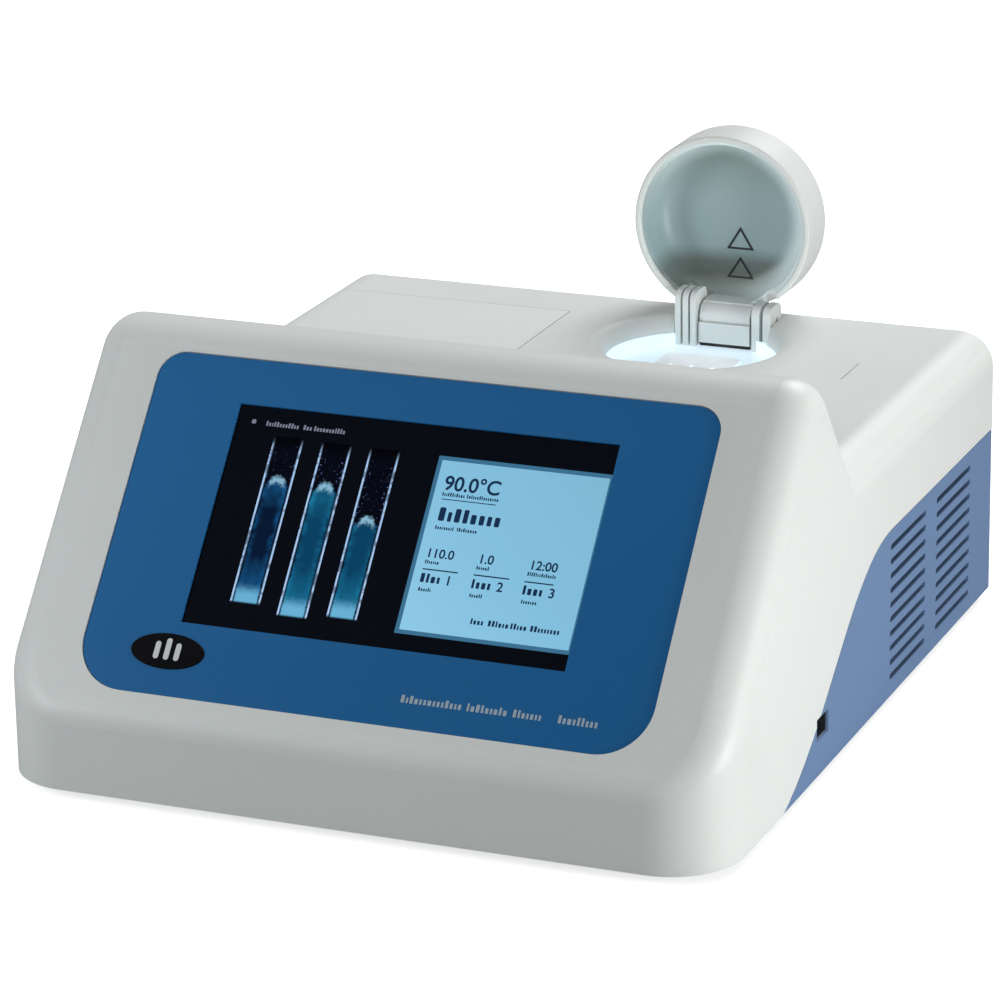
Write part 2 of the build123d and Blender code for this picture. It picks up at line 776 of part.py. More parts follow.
def panel_screws():
    """Domed screws of the rear panel."""
    screws = Part()
    y = rear_y + sheet
    for x, z in panel_screw_spots():
        shank = rod(1.6, (x, rear_y, z), (x, y, z))
        head = rod(2.9, (x, y, z), (x, y + 1.8, z))
        head = fillet(head.edges().sort_by(Axis.Y)[-1], 0.9)
        cross = block(x - 1.8, x + 1.8, y + 1, y + 3, z - 0.35, z + 0.35)
        cross += block(x - 0.35, x + 0.35, y + 1, y + 3, z - 1.8, z + 1.8)
        screws += shank + head - cross
    return screws


def service_hole():
    """Opening in the rear panel for the inlet and fuse module."""
    return block(inlet_x - 16, fuse_x + 11, rear_y - 1, rear_y + sheet + 1,
                 service_z - 13, service_z + 13)


def inlet_socket(grow=0.0, depth=17.0):
    """Socket cavity of the power inlet: a rectangle with two cut corners."""
    y = rear_y + sheet + 2.0
    w, h = inlet_w / 2 + grow, inlet_h / 2 + grow
    cut = 4.5
    outline = make_face(Polyline((-w, -h), (w, -h), (w, h - cut), (w - cut, h), (-w + cut, h),
                                 (-w, h - cut), close=True))
    plane = Plane(origin=(inlet_x, y - depth, service_z), x_dir=(-1, 0, 0), z_dir=(0, 1, 0))
    return extrude(plane * outline, amount=depth + 1)


def inlet():
    """Power inlet module with a bay for the fuse drawer."""
    y = rear_y + sheet
    flange = block(inlet_x - 20, fuse_x + 15, y, y + 2, service_z - 16, service_z + 16)
    flange = fillet(flange.edges().filter_by(Axis.Y), 3.0)
    core = block(inlet_x - 16, fuse_x + 11, y - 24, y, service_z - 13, service_z + 13)
    body = flange + core - inlet_socket()
    g = move_gap
    return body - block(fuse_x - fuse_w / 2 - g, fuse_x + fuse_w / 2 + g, y - 21 - g, y + 3,
                        service_z - fuse_h / 2 - g, service_z + fuse_h / 2 + g)


def inlet_pins():
    """Three flat contact pins in the inlet."""
    pins = Part()
    y = rear_y + sheet
    for dx, dz in ((-7, -1.5), (7, -1.5), (0, 3.0)):
        x, z = inlet_x + dx, service_z + dz
        pins += block(x - 1, x + 1, y - 15, y - 3, z - 2, z + 2)
    return pins


def fuse_drawer():
    """Pull-out fuse drawer beside the inlet."""
    y = rear_y + sheet
    body = block(fuse_x - fuse_w / 2, fuse_x + fuse_w / 2, y - 21, y + 2.4,
                 service_z - fuse_h / 2, service_z + fuse_h / 2)
    for z in (-5, 5):
        body -= block(fuse_x - 4, fuse_x + 4, y - 19, y - 4, service_z + z - 3.2, service_z + z + 3.2)
    body -= block(fuse_x - 4.5, fuse_x + 4.5, y + 1.2, y + 3, service_z - 8.5, service_z - 5.5)
    return body


def switch_hole():
    """Opening in the rear panel for the power switch."""
    w, h = rocker_w / 2 + 1.6, rocker_h / 2 + 1.6
    return block(rocker_x - w, rocker_x + w, rear_y - 1, rear_y + sheet + 1,
                 service_z - h, service_z + h)


def rocker_frame():
    """Frame and case of the power switch."""
    y = rear_y + sheet
    w, h = rocker_w / 2, rocker_h / 2
    body = block(rocker_x - w - 4, rocker_x + w + 4, y, y + 1.6, service_z - h - 4, service_z + h + 4)
    body = fillet(body.edges().filter_by(Axis.Y), 2.0)
    body += block(rocker_x - w - 1.6, rocker_x + w + 1.6, y - 16, y, service_z - h - 1.6,
                  service_z + h + 1.6)
    g = move_gap
    body -= block(rocker_x - w - g, rocker_x + w + g, y - 12, y + 3, service_z - h - g,
                  service_z + h + g)
    pivot = rod(1.2, (rocker_x - w - 1.2, y - 3, service_z), (rocker_x + w + 1.2, y - 3, service_z))
    return body + pivot


def rocker():
    """Power rocker, resting pressed in at its lower end."""
    y = rear_y + sheet
    w, h = rocker_w / 2, rocker_h / 2
    reach = sqrt(h * h + 16) - 0.1
    key = block(rocker_x - w, rocker_x + w, y - 7, y + 4, service_z - h, service_z + h)
    key &= rod(reach, (rocker_x - w, y - 3, service_z), (rocker_x + w, y - 3, service_z))
    dish = rod(40.0, (rocker_x - w - 1, y + 41.8, service_z), (rocker_x + w + 1, y + 41.8, service_z))
    key -= dish
    key &= rod(h, (rocker_x - w, y - 3, service_z), (rocker_x + w, y - 3, service_z))
    key -= rod(1.2 + run_fit, (rocker_x - w - 1, y - 3, service_z), (rocker_x + w + 1, y - 3, service_z))
    return key.rotate(Axis((0, y - 3, service_z), (1, 0, 0)), rocker_throw / 2)


def usb_spots():
    """Rear data ports, in x."""
    return (20.0, 44.0)


def usb_shell(x, y, z, along):
    """Open metal shell of a data port with its mouth at y (or x for a side port)."""
    outer_box = block(-usb_w / 2, usb_w / 2, -14, 0, -usb_h / 2, usb_h / 2)
    hollow = block(-usb_w / 2 + 0.6, usb_w / 2 - 0.6, -13, 1, -usb_h / 2 + 0.6, usb_h / 2 - 0.6)
    return (outer_box - hollow).rotate(Axis.Z, along).moved(Location((x, y, z)))


def usb_blade(x, y, z, along):
    """Plastic contact blade inside a data port."""
    blade = block(-5.6, 5.6, -13, -3, 0.2, 2.2)
    return blade.rotate(Axis.Z, along).moved(Location((x, y, z)))


def usb_shells():
    """Shells of the rear data ports."""
    ports = Part()
    for x in usb_spots():
        ports += usb_shell(x, rear_y + sheet + 0.6, service_z, 0)
    return ports


def usb_blades():
    """Contact blades of the rear data ports."""
    ports = Part()
    for x in usb_spots():
        ports += usb_blade(x, rear_y + sheet + 0.6, service_z, 0)
    return ports


def side_port():
    """Data port in the right side, at the edge of the side panel."""
    y, z = front_y + port_from_front, base_z + port_rise
    w, h = port_w / 2, port_h / 2
    case = block(side_x - 16, side_x - 0.8, y - w, y + w, z - h, z + h)
    return case - block(side_x - 14, side_x, y - w + 0.9, y + w - 0.9, z - h + 0.9, z + h - 0.9)


def side_port_blade():
    """Contact blade in the side data port."""
    y, z = front_y + port_from_front, base_z + port_rise
    return block(side_x - 14, side_x - 4, y - 4.6, y + 4.6, z + 0.6, z + 2.6)


def side_port_holder():
    """Small bracket from the chassis to the side data port."""
    y, z = front_y + port_from_front, base_z + port_rise
    return block(side_x - 17.5, side_x - 16, y - 8, y + 8, floor_z, z + port_h / 2)


def fan_frame():
    """Square fan frame standing on the chassis, with three struts and a hub boss."""
    x1 = fan_face_x
    x0 = x1 - fan_t
    half = fan_size / 2
    frame = block(x0, x1, fan_y - half, fan_y + half, fan_z - half, fan_z + half)
    frame = fillet(frame.edges().filter_by(Axis.X), 4.0)
    frame -= rod(fan_bore_r, (x0 - 1, fan_y, fan_z), (x1 + 1, fan_y, fan_z))
    hub = rod(9.0, (x0, fan_y, fan_z), (x0 + 2, fan_y, fan_z))
    for i in range(3):
        strut = block(x0, x0 + 2, fan_y - 2, fan_y + 2, fan_z, fan_z + fan_bore_r + 1)
        hub += strut.rotate(Axis((0, fan_y, fan_z), (1, 0, 0)), 120 * i + 60)
    frame += hub + rod(1.5, (x0, fan_y, fan_z), (x1 - 4, fan_y, fan_z))
    for y in (-1, 1):
        for z in (-1, 1):
            a, b = fan_y + y * fan_spot, fan_z + z * fan_spot
            frame -= rod(2.0, (x0 - 1, a, b), (x1 + 1, a, b))
    return frame


def fan_guard():
    """Wire guard on the fan's outer side."""
    x0 = fan_face_x
    wire = guard_wire / 2
    guard = Part()
    for r in (8, 15, 22, fan_bore_r + 1):
        guard += Torus(r, wire).rotate(Axis.Y, 90).moved(Location((x0 + wire, fan_y, fan_z)))
    for angle in (45, 135):
        reach = fan_spot * sqrt(2)
        bar = rod(wire, (x0 + wire, fan_y, fan_z - reach), (x0 + wire, fan_y, fan_z + reach))
        guard += bar.rotate(Axis((0, fan_y, fan_z), (1, 0, 0)), angle)
    for y in (-1, 1):
        for z in (-1, 1):
            a, b = fan_y + y * fan_spot, fan_z + z * fan_spot
            guard -= rod(2.0, (x0 - 1, a, b), (x0 + 3, a, b))
    return guard


def fan_screws():
    """Four screws through the fan's corners."""
    x1 = fan_face_x
    screws = Part()
    for y in (-1, 1):
        for z in (-1, 1):
            a, b = fan_y + y * fan_spot, fan_z + z * fan_spot
            screws += rod(2.0, (x1 - fan_t, a, b), (x1 + 1.2, a, b))
            screws += rod(3.2, (x1 - fan_t - 2, a, b), (x1 - fan_t, a, b))
    return screws


def fan_rotor():
    """Bladed fan rotor on the frame's spindle."""
    x1 = fan_face_x
    x0 = x1 - fan_t + 2 + move_gap
    x2 = x1 - 1.2
    hub = rod(10.0, (x0, fan_y, fan_z), (x2, fan_y, fan_z))
    for i in range(blade_count):
        blade = Box(8.0, 1.2, 18.0).rotate(Axis.Z, 38).moved(
            Location(((x0 + x2) / 2, fan_y, fan_z + 18.0)))
        hub += blade.rotate(Axis((0, fan_y, fan_z), (1, 0, 0)), 360 / blade_count * i)
    limit = rod(fan_bore_r - 0.8, (x0, fan_y, fan_z), (x2, fan_y, fan_z))
    bore = rod(1.5 + run_fit, (x0 - 1, fan_y, fan_z), (x1 - 4 + 0.5, fan_y, fan_z))
    return (hub & limit) - bore


def power_supply():
    """Enclosed power supply on the chassis floor."""
    x0, y0 = -side_x + 16, back_y - supply_from_back
    case = block(x0, x0 + 70, y0, y0 + 70, floor_z, floor_z + 36)
    case = fillet(case.edges().filter_by(Axis.Z), 1.5)
    for i in range(7):
        y = y0 + 8 + i * 9
        case -= block(x0 + 10, x0 + 60, y, y + 3, floor_z + 34.5, floor_z + 37)
    return case


def board_spots():
    """Standoff positions of the main board, in x and y."""
    return [(x, y) for x in (-92, 12) for y in (front_y + 62, front_y + 132)]


def main_board():
    """Main circuit board with its larger components."""
    z = floor_z + 8
    board = block(-98, 18, front_y + 56, front_y + 138, z, z + 1.6)
    parts_list = ((-70, 80, 18, 18, 3), (-30, 84, 14, 14, 2.5), (-80, 116, 10, 24, 9),
                  (-10, 108, 12, 12, 12), (-44, 118, 26, 8, 6), (0, 76, 8, 20, 8))
    for x, y, w, d, h in parts_list:
        yy = front_y + y
        board += block(x - w / 2, x + w / 2, yy - d / 2, yy + d / 2, z + 1.6, z + 1.6 + h)
    for x, y in board_spots():
        board -= rod(1.5, (x, y, z - 1), (x, y, z + 3))
    return board


def standoffs():
    """Pillars and screws under the main board."""
    z = floor_z + 8
    posts = Part()
    for x, y in board_spots():
        posts += rod(3.0, (x, y, floor_z), (x, y, z)) + rod(1.5, (x, y, z), (x, y, z + 1.6))
        posts += rod(2.8, (x, y, z + 1.6), (x, y, z + 3.2))
    return posts


pieces = {
    "chassis": chassis(),
    "shell": shell(),
    "panel_left": side_panel(-1),
    "panel_right": side_panel(1),
    "rear_panel": rear_panel(),
    "panel_screws": panel_screws(),
    "feet": feet(),
    "foot_screws": foot_screws(),
    "overlay": overlay(),
    "badge": badge(),
    "touch_glass": touch_glass(),
    "lcd_module": lcd_module(),
    "lcd_bracket": lcd_bracket(),
    "display_board": display_board(),
    "main_board": main_board(),
    "standoffs": standoffs(),
    "power_supply": power_supply(),
    "store_tray": store_tray(),
    "store_lid": store_lid(),
    "store_pin": store_pin(),
    "well_liner": well_liner(),
    "block_cover": block_cover(),
    "oven_block": oven_block(),
    "oven_base": oven_base(),
    "heaters": heaters(),
    "sensor": sensor(),
    "jacket": jacket(),
    "oven_window": oven_window(),
    "oven_stand": oven_stand(),
    "camera_bracket": camera_bracket(),
    "camera_board": camera_board(),
    "camera_lens": camera_lens(),
    "lamp_ring": lamp_ring(),
    "hinge_bracket": hinge_bracket(),
    "hinge_block": hinge_block(),
    "hinge_pin": hinge_pin(),
    "lid_shell": lid_shell(),
    "lid_liner": lid_liner(),
    "inlet": inlet(),
    "inlet_pins": inlet_pins(),
    "fuse_drawer": fuse_drawer(),
    "rocker_frame": rocker_frame(),
    "rocker": rocker(),
    "usb_shells": usb_shells(),
    "usb_blades": usb_blades(),
    "side_port": side_port(),
    "side_port_blade": side_port_blade(),
    "side_port_holder": side_port_holder(),
    "fan_frame": fan_frame(),
    "fan_guard": fan_guard(),
    "fan_screws": fan_screws(),
    "fan_rotor": fan_rotor(),
}

for name, solid in pieces.items():
    export_step(solid, f"parts/{name}.step")
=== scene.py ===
"""Looks of the automatic melting point apparatus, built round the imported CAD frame."""
import json
import math
import random

import bmesh
import bpy
from mathutils import Matrix, Vector

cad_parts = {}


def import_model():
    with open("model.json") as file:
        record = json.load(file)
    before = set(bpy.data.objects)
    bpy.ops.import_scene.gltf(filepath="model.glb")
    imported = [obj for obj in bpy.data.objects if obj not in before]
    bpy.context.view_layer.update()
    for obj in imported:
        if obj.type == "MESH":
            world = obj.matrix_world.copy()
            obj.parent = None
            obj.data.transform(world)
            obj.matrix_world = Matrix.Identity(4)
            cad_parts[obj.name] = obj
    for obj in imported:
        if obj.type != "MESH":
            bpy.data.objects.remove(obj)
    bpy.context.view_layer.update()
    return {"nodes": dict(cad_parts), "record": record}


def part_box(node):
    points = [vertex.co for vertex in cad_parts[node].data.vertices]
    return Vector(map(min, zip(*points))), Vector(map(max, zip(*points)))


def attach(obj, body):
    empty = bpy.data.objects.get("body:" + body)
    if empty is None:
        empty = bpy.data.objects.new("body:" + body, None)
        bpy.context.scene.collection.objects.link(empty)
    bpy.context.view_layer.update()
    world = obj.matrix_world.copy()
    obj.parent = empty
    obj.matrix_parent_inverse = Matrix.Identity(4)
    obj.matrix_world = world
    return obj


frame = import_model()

MM = 0.001


# ------------------------------------------------------------------ node helpers

class Graph:
    """Small wrapper that builds a node material."""

    def __init__(self, name):
        self.mat = bpy.data.materials.new(name)
        self.mat.use_nodes = True
        self.tree = self.mat.node_tree
        self.tree.nodes.clear()
        self.out = self.tree.nodes.new("ShaderNodeOutputMaterial")
        self.bsdf = self.tree.nodes.new("ShaderNodeBsdfPrincipled")
        self.tree.links.new(self.bsdf.outputs[0], self.out.inputs[0])
        self.coord = self.tree.nodes.new("ShaderNodeTexCoord")

    def node(self, kind, inputs=None, **props):
        n = self.tree.nodes.new(kind)
        for key, value in props.items():
            setattr(n, key, value)
        for key, value in (inputs or {}).items():
            self.put(n.inputs[key], value)
        return n

    def put(self, socket, value):
        if isinstance(value, bpy.types.NodeSocket):
            self.tree.links.new(value, socket)
        else:
            socket.default_value = value

    def set(self, **values):
        for key, value in values.items():
            self.put(self.bsdf.inputs[key.replace("_", " ")], value)

    def roughness(self, value, low, high, span=(0.0, 1.0)):
        """Roughness that goes from low to high as the value crosses the span."""
        n = self.node("ShaderNodeMapRange", {"Value": value, "From Min": span[0],
                                             "From Max": span[1], "To Min": low, "To Max": high})
        self.set(Roughness=n.outputs[0])

    def generated(self):
        """Place within the piece's own box, 0 to 1 along X, Y and Z."""
        box = self.coord.outputs["Generated"]
        return self.node("ShaderNodeSeparateXYZ", {"Vector": box}).outputs

    def shining(self, colour, specular):
        """Lit area of the display: black under its own light."""
        self.set(Base_Color=(0.0, 0.0, 0.0, 1.0), Emission_Color=colour, Emission_Strength=1.0,
                 Roughness=0.3, Specular_IOR_Level=specular)

    def math(self, op, a, b=0.0):
        n = self.node("ShaderNodeMath", operation=op)
        self.put(n.inputs[0], a)
        self.put(n.inputs[1], b)
        return n.outputs[0]

    def noise(self, scale, detail=2.0, rough=0.5, vector=None):
        n = self.node("ShaderNodeTexNoise")
        n.inputs["Scale"].default_value = scale
        n.inputs["Detail"].default_value = detail
        n.inputs["Roughness"].default_value = rough
        self.put(n.inputs["Vector"], vector or self.coord.outputs["Object"])
        return n.outputs["Fac"]

    def ramp(self, fac, stops):
        n = self.node("ShaderNodeValToRGB")
        elements = n.color_ramp.elements
        while len(elements) < len(stops):
            elements.new(0.5)
        for e, (pos, value) in zip(elements, stops):
            e.position = pos
            e.color = (*value, 1.0)
        self.put(n.inputs[0], fac)
        return n.outputs[0]

    def step(self, fac, low, high):
        """0 below low, 1 above high, smooth between."""
        n = self.node("ShaderNodeMapRange", interpolation_type="SMOOTHSTEP")
        self.put(n.inputs["Value"], fac)
        n.inputs["From Min"].default_value = low
        n.inputs["From Max"].default_value = high
        return n.outputs[0]

    def mix(self, fac, a, b, blend="MIX"):
        n = self.node("ShaderNodeMix", data_type="RGBA", blend_type=blend)
        self.put(n.inputs[0], fac)
        for slot, value in ((6, a), (7, b)):
            is_socket = isinstance(value, bpy.types.NodeSocket)
            self.put(n.inputs[slot], value if is_socket else (*value, 1.0))
        return n.outputs[2]

    def bump(self, height, strength, distance, normal=None):
        n = self.node("ShaderNodeBump")
        n.inputs["Strength"].default_value = strength
        n.inputs["Distance"].default_value = distance
        self.put(n.inputs["Height"], height)
        if normal is not None:
            self.put(n.inputs["Normal"], normal)
        return n.outputs[0]

    def edge_wear(self):
        """1 on sharp outward edges, 0 elsewhere."""
        geo = self.node("ShaderNodeNewGeometry")
        return self.step(geo.outputs["Pointiness"], 0.52, 0.60)


def tint(color, k):
    return tuple(min(1.0, c * k) for c in color[:3])


def moulded(name, color, rough=0.45, grain=900.0, depth=0.00006, mottle=0.04, coat=0.0,
            subsurface=0.0, gloss=0.5):
    """Moulded plastic: spark-eroded grain, faint colour drift, softly varying gloss."""
    g = Graph(name)
    drift = g.noise(9.0, 3.0)
    base = g.mix(g.step(drift, 0.3, 0.7), tint(color, 1 - mottle), tint(color, 1 + mottle * 0.6))
    fine = g.noise(grain, 2.0)
    speck = g.mix(g.step(fine, 0.35, 0.65), tint((1, 1, 1), 0.985), (1, 1, 1))
    base = g.mix(1.0, base, speck, "MULTIPLY")
    base = g.mix(g.math("MULTIPLY", g.edge_wear(), 0.35), base, tint(color, 1.12))
    g.set(Base_Color=base)
    g.roughness(g.noise(40.0, 2.0), rough - 0.05, rough + 0.06)
    g.set(Normal=g.bump(fine, 0.5, depth, g.bump(g.noise(14.0, 1.0), 0.12, 0.0006)))
    g.set(Coat_Weight=coat, Specular_IOR_Level=gloss, Subsurface_Weight=subsurface,
          Subsurface_Scale=0.004)
    return g.mat


def powder(name, color, rough=0.5, peel=420.0, depth=0.00012):
    """Powder coat: orange-peel waves over a fine speckle, paler on edges."""
    g = Graph(name)
    peel_n = g.noise(peel, 2.0)
    speck = g.noise(2600.0, 1.0)
    drift = g.noise(6.0, 2.0)
    base = g.mix(g.step(drift, 0.3, 0.7), tint(color, 0.95), tint(color, 1.05))
    base = g.mix(g.math("MULTIPLY", g.step(speck, 0.55, 0.7), 0.25), base, tint(color, 1.35))
    base = g.mix(g.math("MULTIPLY", g.edge_wear(), 0.5), base, tint(color, 1.5))
    g.set(Base_Color=base)
    g.roughness(drift, rough - 0.06, rough + 0.06)
    g.set(Normal=g.bump(peel_n, 0.55, depth))
    return g.mat


def metal(name, color, rough=0.32, axis=0, stretch=60.0, depth=0.00003):
    """Brushed or turned metal: streaks along one axis, smudged gloss."""
    g = Graph(name)
    scale = [900.0, 900.0, 900.0]
    scale[axis] = 900.0 / stretch
    mapping = g.node("ShaderNodeMapping", {"Vector": g.coord.outputs["Object"], "Scale": scale})
    streak = g.noise(1.0, 3.0, vector=mapping.outputs[0])
    smudge = g.noise(25.0, 3.0)
    g.set(Base_Color=g.mix(g.step(streak, 0.25, 0.75), tint(color, 0.88), tint(color, 1.06)))
    g.set(Metallic=1.0)
    g.roughness(smudge, rough - 0.06, rough + 0.10)
    g.set(Normal=g.bump(streak, 0.4, depth))
    return g.mat


def rubber(name, color):
    """Matt rubber with a dusty bloom."""
    g = Graph(name)
    dust = g.step(g.noise(60.0, 4.0), 0.45, 0.8)
    g.set(Base_Color=g.mix(g.math("MULTIPLY", dust, 0.35), color, (0.16, 0.155, 0.15)))
    g.set(Roughness=0.82)
    g.set(Normal=g.bump(g.noise(1400.0, 1.0), 0.6, 0.00006))
    return g.mat


def board(name, color):
    """Circuit board: solder mask with faint copper tracks under it."""
    g = Graph(name)
    cell = g.node("ShaderNodeTexBrick", {"Vector": g.coord.outputs["Object"], "Scale": 120.0,
                                         "Mortar Size": 0.035, "Color1": (0.0, 0.0, 0.0, 1),
                                         "Color2": (0.15, 0.15, 0.15, 1),
                                         "Mortar": (1.0, 1.0, 1.0, 1)})
    track = g.math("MULTIPLY", cell.outputs["Color"], 0.5)
    base = g.mix(track, color, tint(color, 2.2))
    g.set(Base_Color=g.mix(g.step(g.noise(300.0, 2.0), 0.66, 0.7), base, (0.75, 0.74, 0.7)))
    g.set(Roughness=0.35)
    g.set(Normal=g.bump(cell.outputs["Color"], 0.3, 0.00008))
    return g.mat


def fibre(name, color):
    """Pressed mineral fibre."""
    g = Graph(name)
    strand = g.node("ShaderNodeTexVoronoi", {"Scale": 500.0,
                                             "Vector": g.coord.outputs["Object"]})
    felt = g.noise(350.0, 5.0, 0.7)
    g.set(Base_Color=g.mix(felt, tint(color, 0.75), tint(color, 1.15)))
    g.set(Roughness=0.95)
    g.set(Normal=g.bump(strand.outputs["Distance"], 0.6, 0.0003, g.bump(felt, 0.7, 0.0004)))
    return g.mat


def dished(name):
    """Satin lining of the lid with painted light and shade: grey floor, a painted pale band
    towards the wall, painted shade low down.
    """
    g = Graph(name)
    pos = g.generated()
    dx = g.math("SUBTRACT", pos[0], 0.5)
    dz = g.math("SUBTRACT", pos[2], 0.5)
    radius = g.math("SQRT", g.math("ADD", g.math("MULTIPLY", dx, dx), g.math("MULTIPLY", dz, dz)))
    cloud = g.math("MULTIPLY", g.math("SUBTRACT", g.noise(22.0, 3.0), 0.5), 0.10)
    # painted shade: the floor's tone darkens and lightens in bands with height in the dish
    level = g.math("ADD", pos[2], cloud)
    painted_shade_tone = g.ramp(level, [(0.02, (0.40, 0.44, 0.40)), (0.13, (0.155, 0.185, 0.165)),
                                (0.20, (0.17, 0.21, 0.195)), (0.29, (0.35, 0.47, 0.49)),
                                (0.58, (0.37, 0.48, 0.49)), (0.92, (0.30, 0.37, 0.34))])
    # painted light: a pale band near the wall, wider on the right and towards the top
    ring = g.math("ADD", radius, g.math("MULTIPLY", cloud, 0.3))
    ring = g.math("ADD", ring, g.math("MULTIPLY", dx, 0.22))
    ring = g.math("ADD", ring, g.math("MULTIPLY", dz, 0.10))
    base = g.mix(g.step(ring, 0.35, 0.49), painted_shade_tone, (0.84, 0.92, 0.92))
    g.set(Base_Color=base)
    g.roughness(g.noise(60.0, 2.0), 0.34, 0.46)
    g.set(Normal=g.bump(g.noise(1100.0, 2.0), 0.4, 0.00004))
    return g.mat


def film(name, top, low):
    """Screen-printed polyester overlay: a painted sheen makes it lighter towards its upper left
    corner; fine ink grain.
    """
    g = Graph(name)
    pos = g.generated()
    # painted sheen: from the low colour to the top colour towards the upper left
    sheen_slant = g.math("SUBTRACT", 0.5, g.math("MULTIPLY", pos[0], 0.45))
    sheen_slant = g.math("ADD", sheen_slant, g.math("MULTIPLY", pos[2], 0.55))
    base = g.mix(g.step(sheen_slant, 0.0, 1.0), low, top)
    ink = g.noise(1800.0, 2.0)
    base = g.mix(g.math("MULTIPLY", g.step(ink, 0.4, 0.7), 0.10), base, tint(top, 1.35))
    g.set(Base_Color=base)
    g.roughness(g.noise(18.0, 3.0), 0.34, 0.44)
    g.set(Specular_IOR_Level=0.16)
    g.set(Normal=g.bump(ink, 0.35, 0.00003))
    return g.mat


def glass(name):
    """Clear glass plate with a trace of dust."""
    g = Graph(name)
    dust = g.step(g.noise(220.0, 4.0), 0.62, 0.85)
    g.set(Base_Color=g.mix(dust, (0.95, 0.98, 0.99), (0.85, 0.86, 0.86)))
    g.set(Transmission_Weight=1.0, IOR=1.46)
    g.roughness(dust, 0.02, 0.2)
    return g.mat


def cover_glass(name):
    """Dark display glass: near-black panel under gloss, with faint finger smears."""
    g = Graph(name)
    smear = g.noise(30.0, 5.0, 0.65)
    g.set(Base_Color=g.mix(g.noise(500.0, 1.0), (0.0015, 0.0025, 0.006), (0.003, 0.005, 0.011)))
    g.roughness(smear, 0.16, 0.3, (0.35, 0.75))
    g.set(Specular_IOR_Level=0.07)
    return g.mat


def glowing(name, color, strength, rim=0.6):
    """Moulding that gives off its own light, a little uneven: lit from behind in the lamp, painted
    light on the well liner and the ceramic cover.
    """
    g = Graph(name)
    cloud = g.noise(35.0, 3.0)
    g.set(Base_Color=g.mix(cloud, tint(color, 0.9), color))
    g.set(Emission_Color=g.mix(g.step(cloud, 0.25, 0.75), tint(color, rim), color))
    g.set(Emission_Strength=strength, Roughness=0.35)
    g.set(Normal=g.bump(g.noise(700.0, 2.0), 0.3, 0.00005))
    return g.mat


def lit_ink(name, color):
    """Flat lit area of the display, with the faint grid of its pixels."""
    g = Graph(name)
    grid = g.node("ShaderNodeTexBrick", {"Vector": g.coord.outputs["Object"], "Scale": 900.0,
                                         "Mortar Size": 0.06, "Color1": (1, 1, 1, 1),
                                         "Color2": (0.96, 0.96, 0.96, 1),
                                         "Mortar": (0.86, 0.86, 0.86, 1)}, offset=0.0)
    lit = g.mix(1.0, grid.outputs["Color"], color, "MULTIPLY")
    g.shining(lit, 0.2)
    return g.mat


# ------------------------------------------------------------------ materials of the slots

WHITE = (0.80, 0.825, 0.80)
SLOTS = {
    "shell_white": moulded("m_shell_white", WHITE, 0.42, mottle=0.015, subsurface=0.05),
    "panel_blue": powder("m_panel_blue", (0.118, 0.196, 0.345)),
    "overlay_blue": film("m_overlay_blue", (0.020, 0.158, 0.400), (0.010, 0.128, 0.335)),
    "rear_grey": powder("m_rear_grey", (0.16, 0.17, 0.18), 0.55, 500.0),
    "steel": metal("m_steel", (0.60, 0.61, 0.62), 0.35, 1),
    "psu_metal": metal("m_psu_metal", (0.66, 0.67, 0.68), 0.38, 0),
    "screw_steel": metal("m_screw_steel", (0.50, 0.51, 0.52), 0.28, 2, 4.0),
    "pin_steel": metal("m_pin_steel", (0.68, 0.69, 0.70), 0.2, 0),
    "port_steel": metal("m_port_steel", (0.74, 0.75, 0.76), 0.18, 1, 8.0),
    "foot_rubber": rubber("m_foot_rubber", (0.02, 0.02, 0.022)),
    "badge_black": moulded("m_badge_black", (0.003, 0.003, 0.004), 0.30, 1500.0, 0.00001,
                           gloss=0.08),
    "screen_glass": cover_glass("m_screen_glass"),
    "board_green": board("m_board_green", (0.02, 0.12, 0.05)),
    "brass": metal("m_brass", (0.72, 0.52, 0.22), 0.25, 2, 5.0),
    "tray_grey": moulded("m_tray_grey", (0.42, 0.44, 0.45), 0.5),
    # painted light: the well liner glows, though it is no lamp
    "liner_white": glowing("m_liner_painted_glow", (0.74, 0.88, 0.97), 0.62, 0.85),
    # painted light: the ceramic cover glows, though it is no lamp
    "cover_ceramic": glowing("m_cover_painted_glow", (0.90, 0.95, 0.98), 0.5),
    "oven_aluminium": metal("m_oven_aluminium", (0.74, 0.75, 0.76), 0.3, 0),
    "jacket_fibre": fibre("m_jacket_fibre", (0.62, 0.58, 0.50)),
    "window_glass": glass("m_window_glass"),
    "lens_black": moulded("m_lens_black", (0.008, 0.008, 0.009), 0.3, 1200.0),
    "lamp_white": glowing("m_lamp_white", (0.95, 0.98, 1.0), 2.0),
    "lid_grey": dished("m_lid_painted_light_and_shade"),
    "black_plastic": moulded("m_black_plastic", (0.018, 0.018, 0.020), 0.45),
    "drawer_black": moulded("m_drawer_black", (0.03, 0.03, 0.032), 0.5, 700.0),
    "rocker_black": moulded("m_rocker_black", (0.012, 0.012, 0.013), 0.25, 1500.0, 0.00002,
                            coat=0.3),
    "rotor_black": moulded("m_rotor_black", (0.022, 0.022, 0.024), 0.4),
}

slot_of = {p["node"]: p["material_slot"] for p in frame["record"]["subparts"]}
for node, obj in frame["nodes"].items():
    obj.data.materials.clear()
    obj.data.materials.append(SLOTS[slot_of[node]])


# ------------------------------------------------------------------ placing things on the face

TILT = math.radians(40.2)
UP_FACE = Vector((0.0, math.sin(TILT), math.cos(TILT)))
OFF_FACE = Vector((0.0, -math.cos(TILT), math.sin(TILT)))
GLASS_T = 1.1 * MM
OVERLAY_T = 1.0 * MM
BADGE_LIFT = 0.25 * MM


def mid(node):
    low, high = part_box(node)
    return (Vector(low) + Vector(high)) / 2


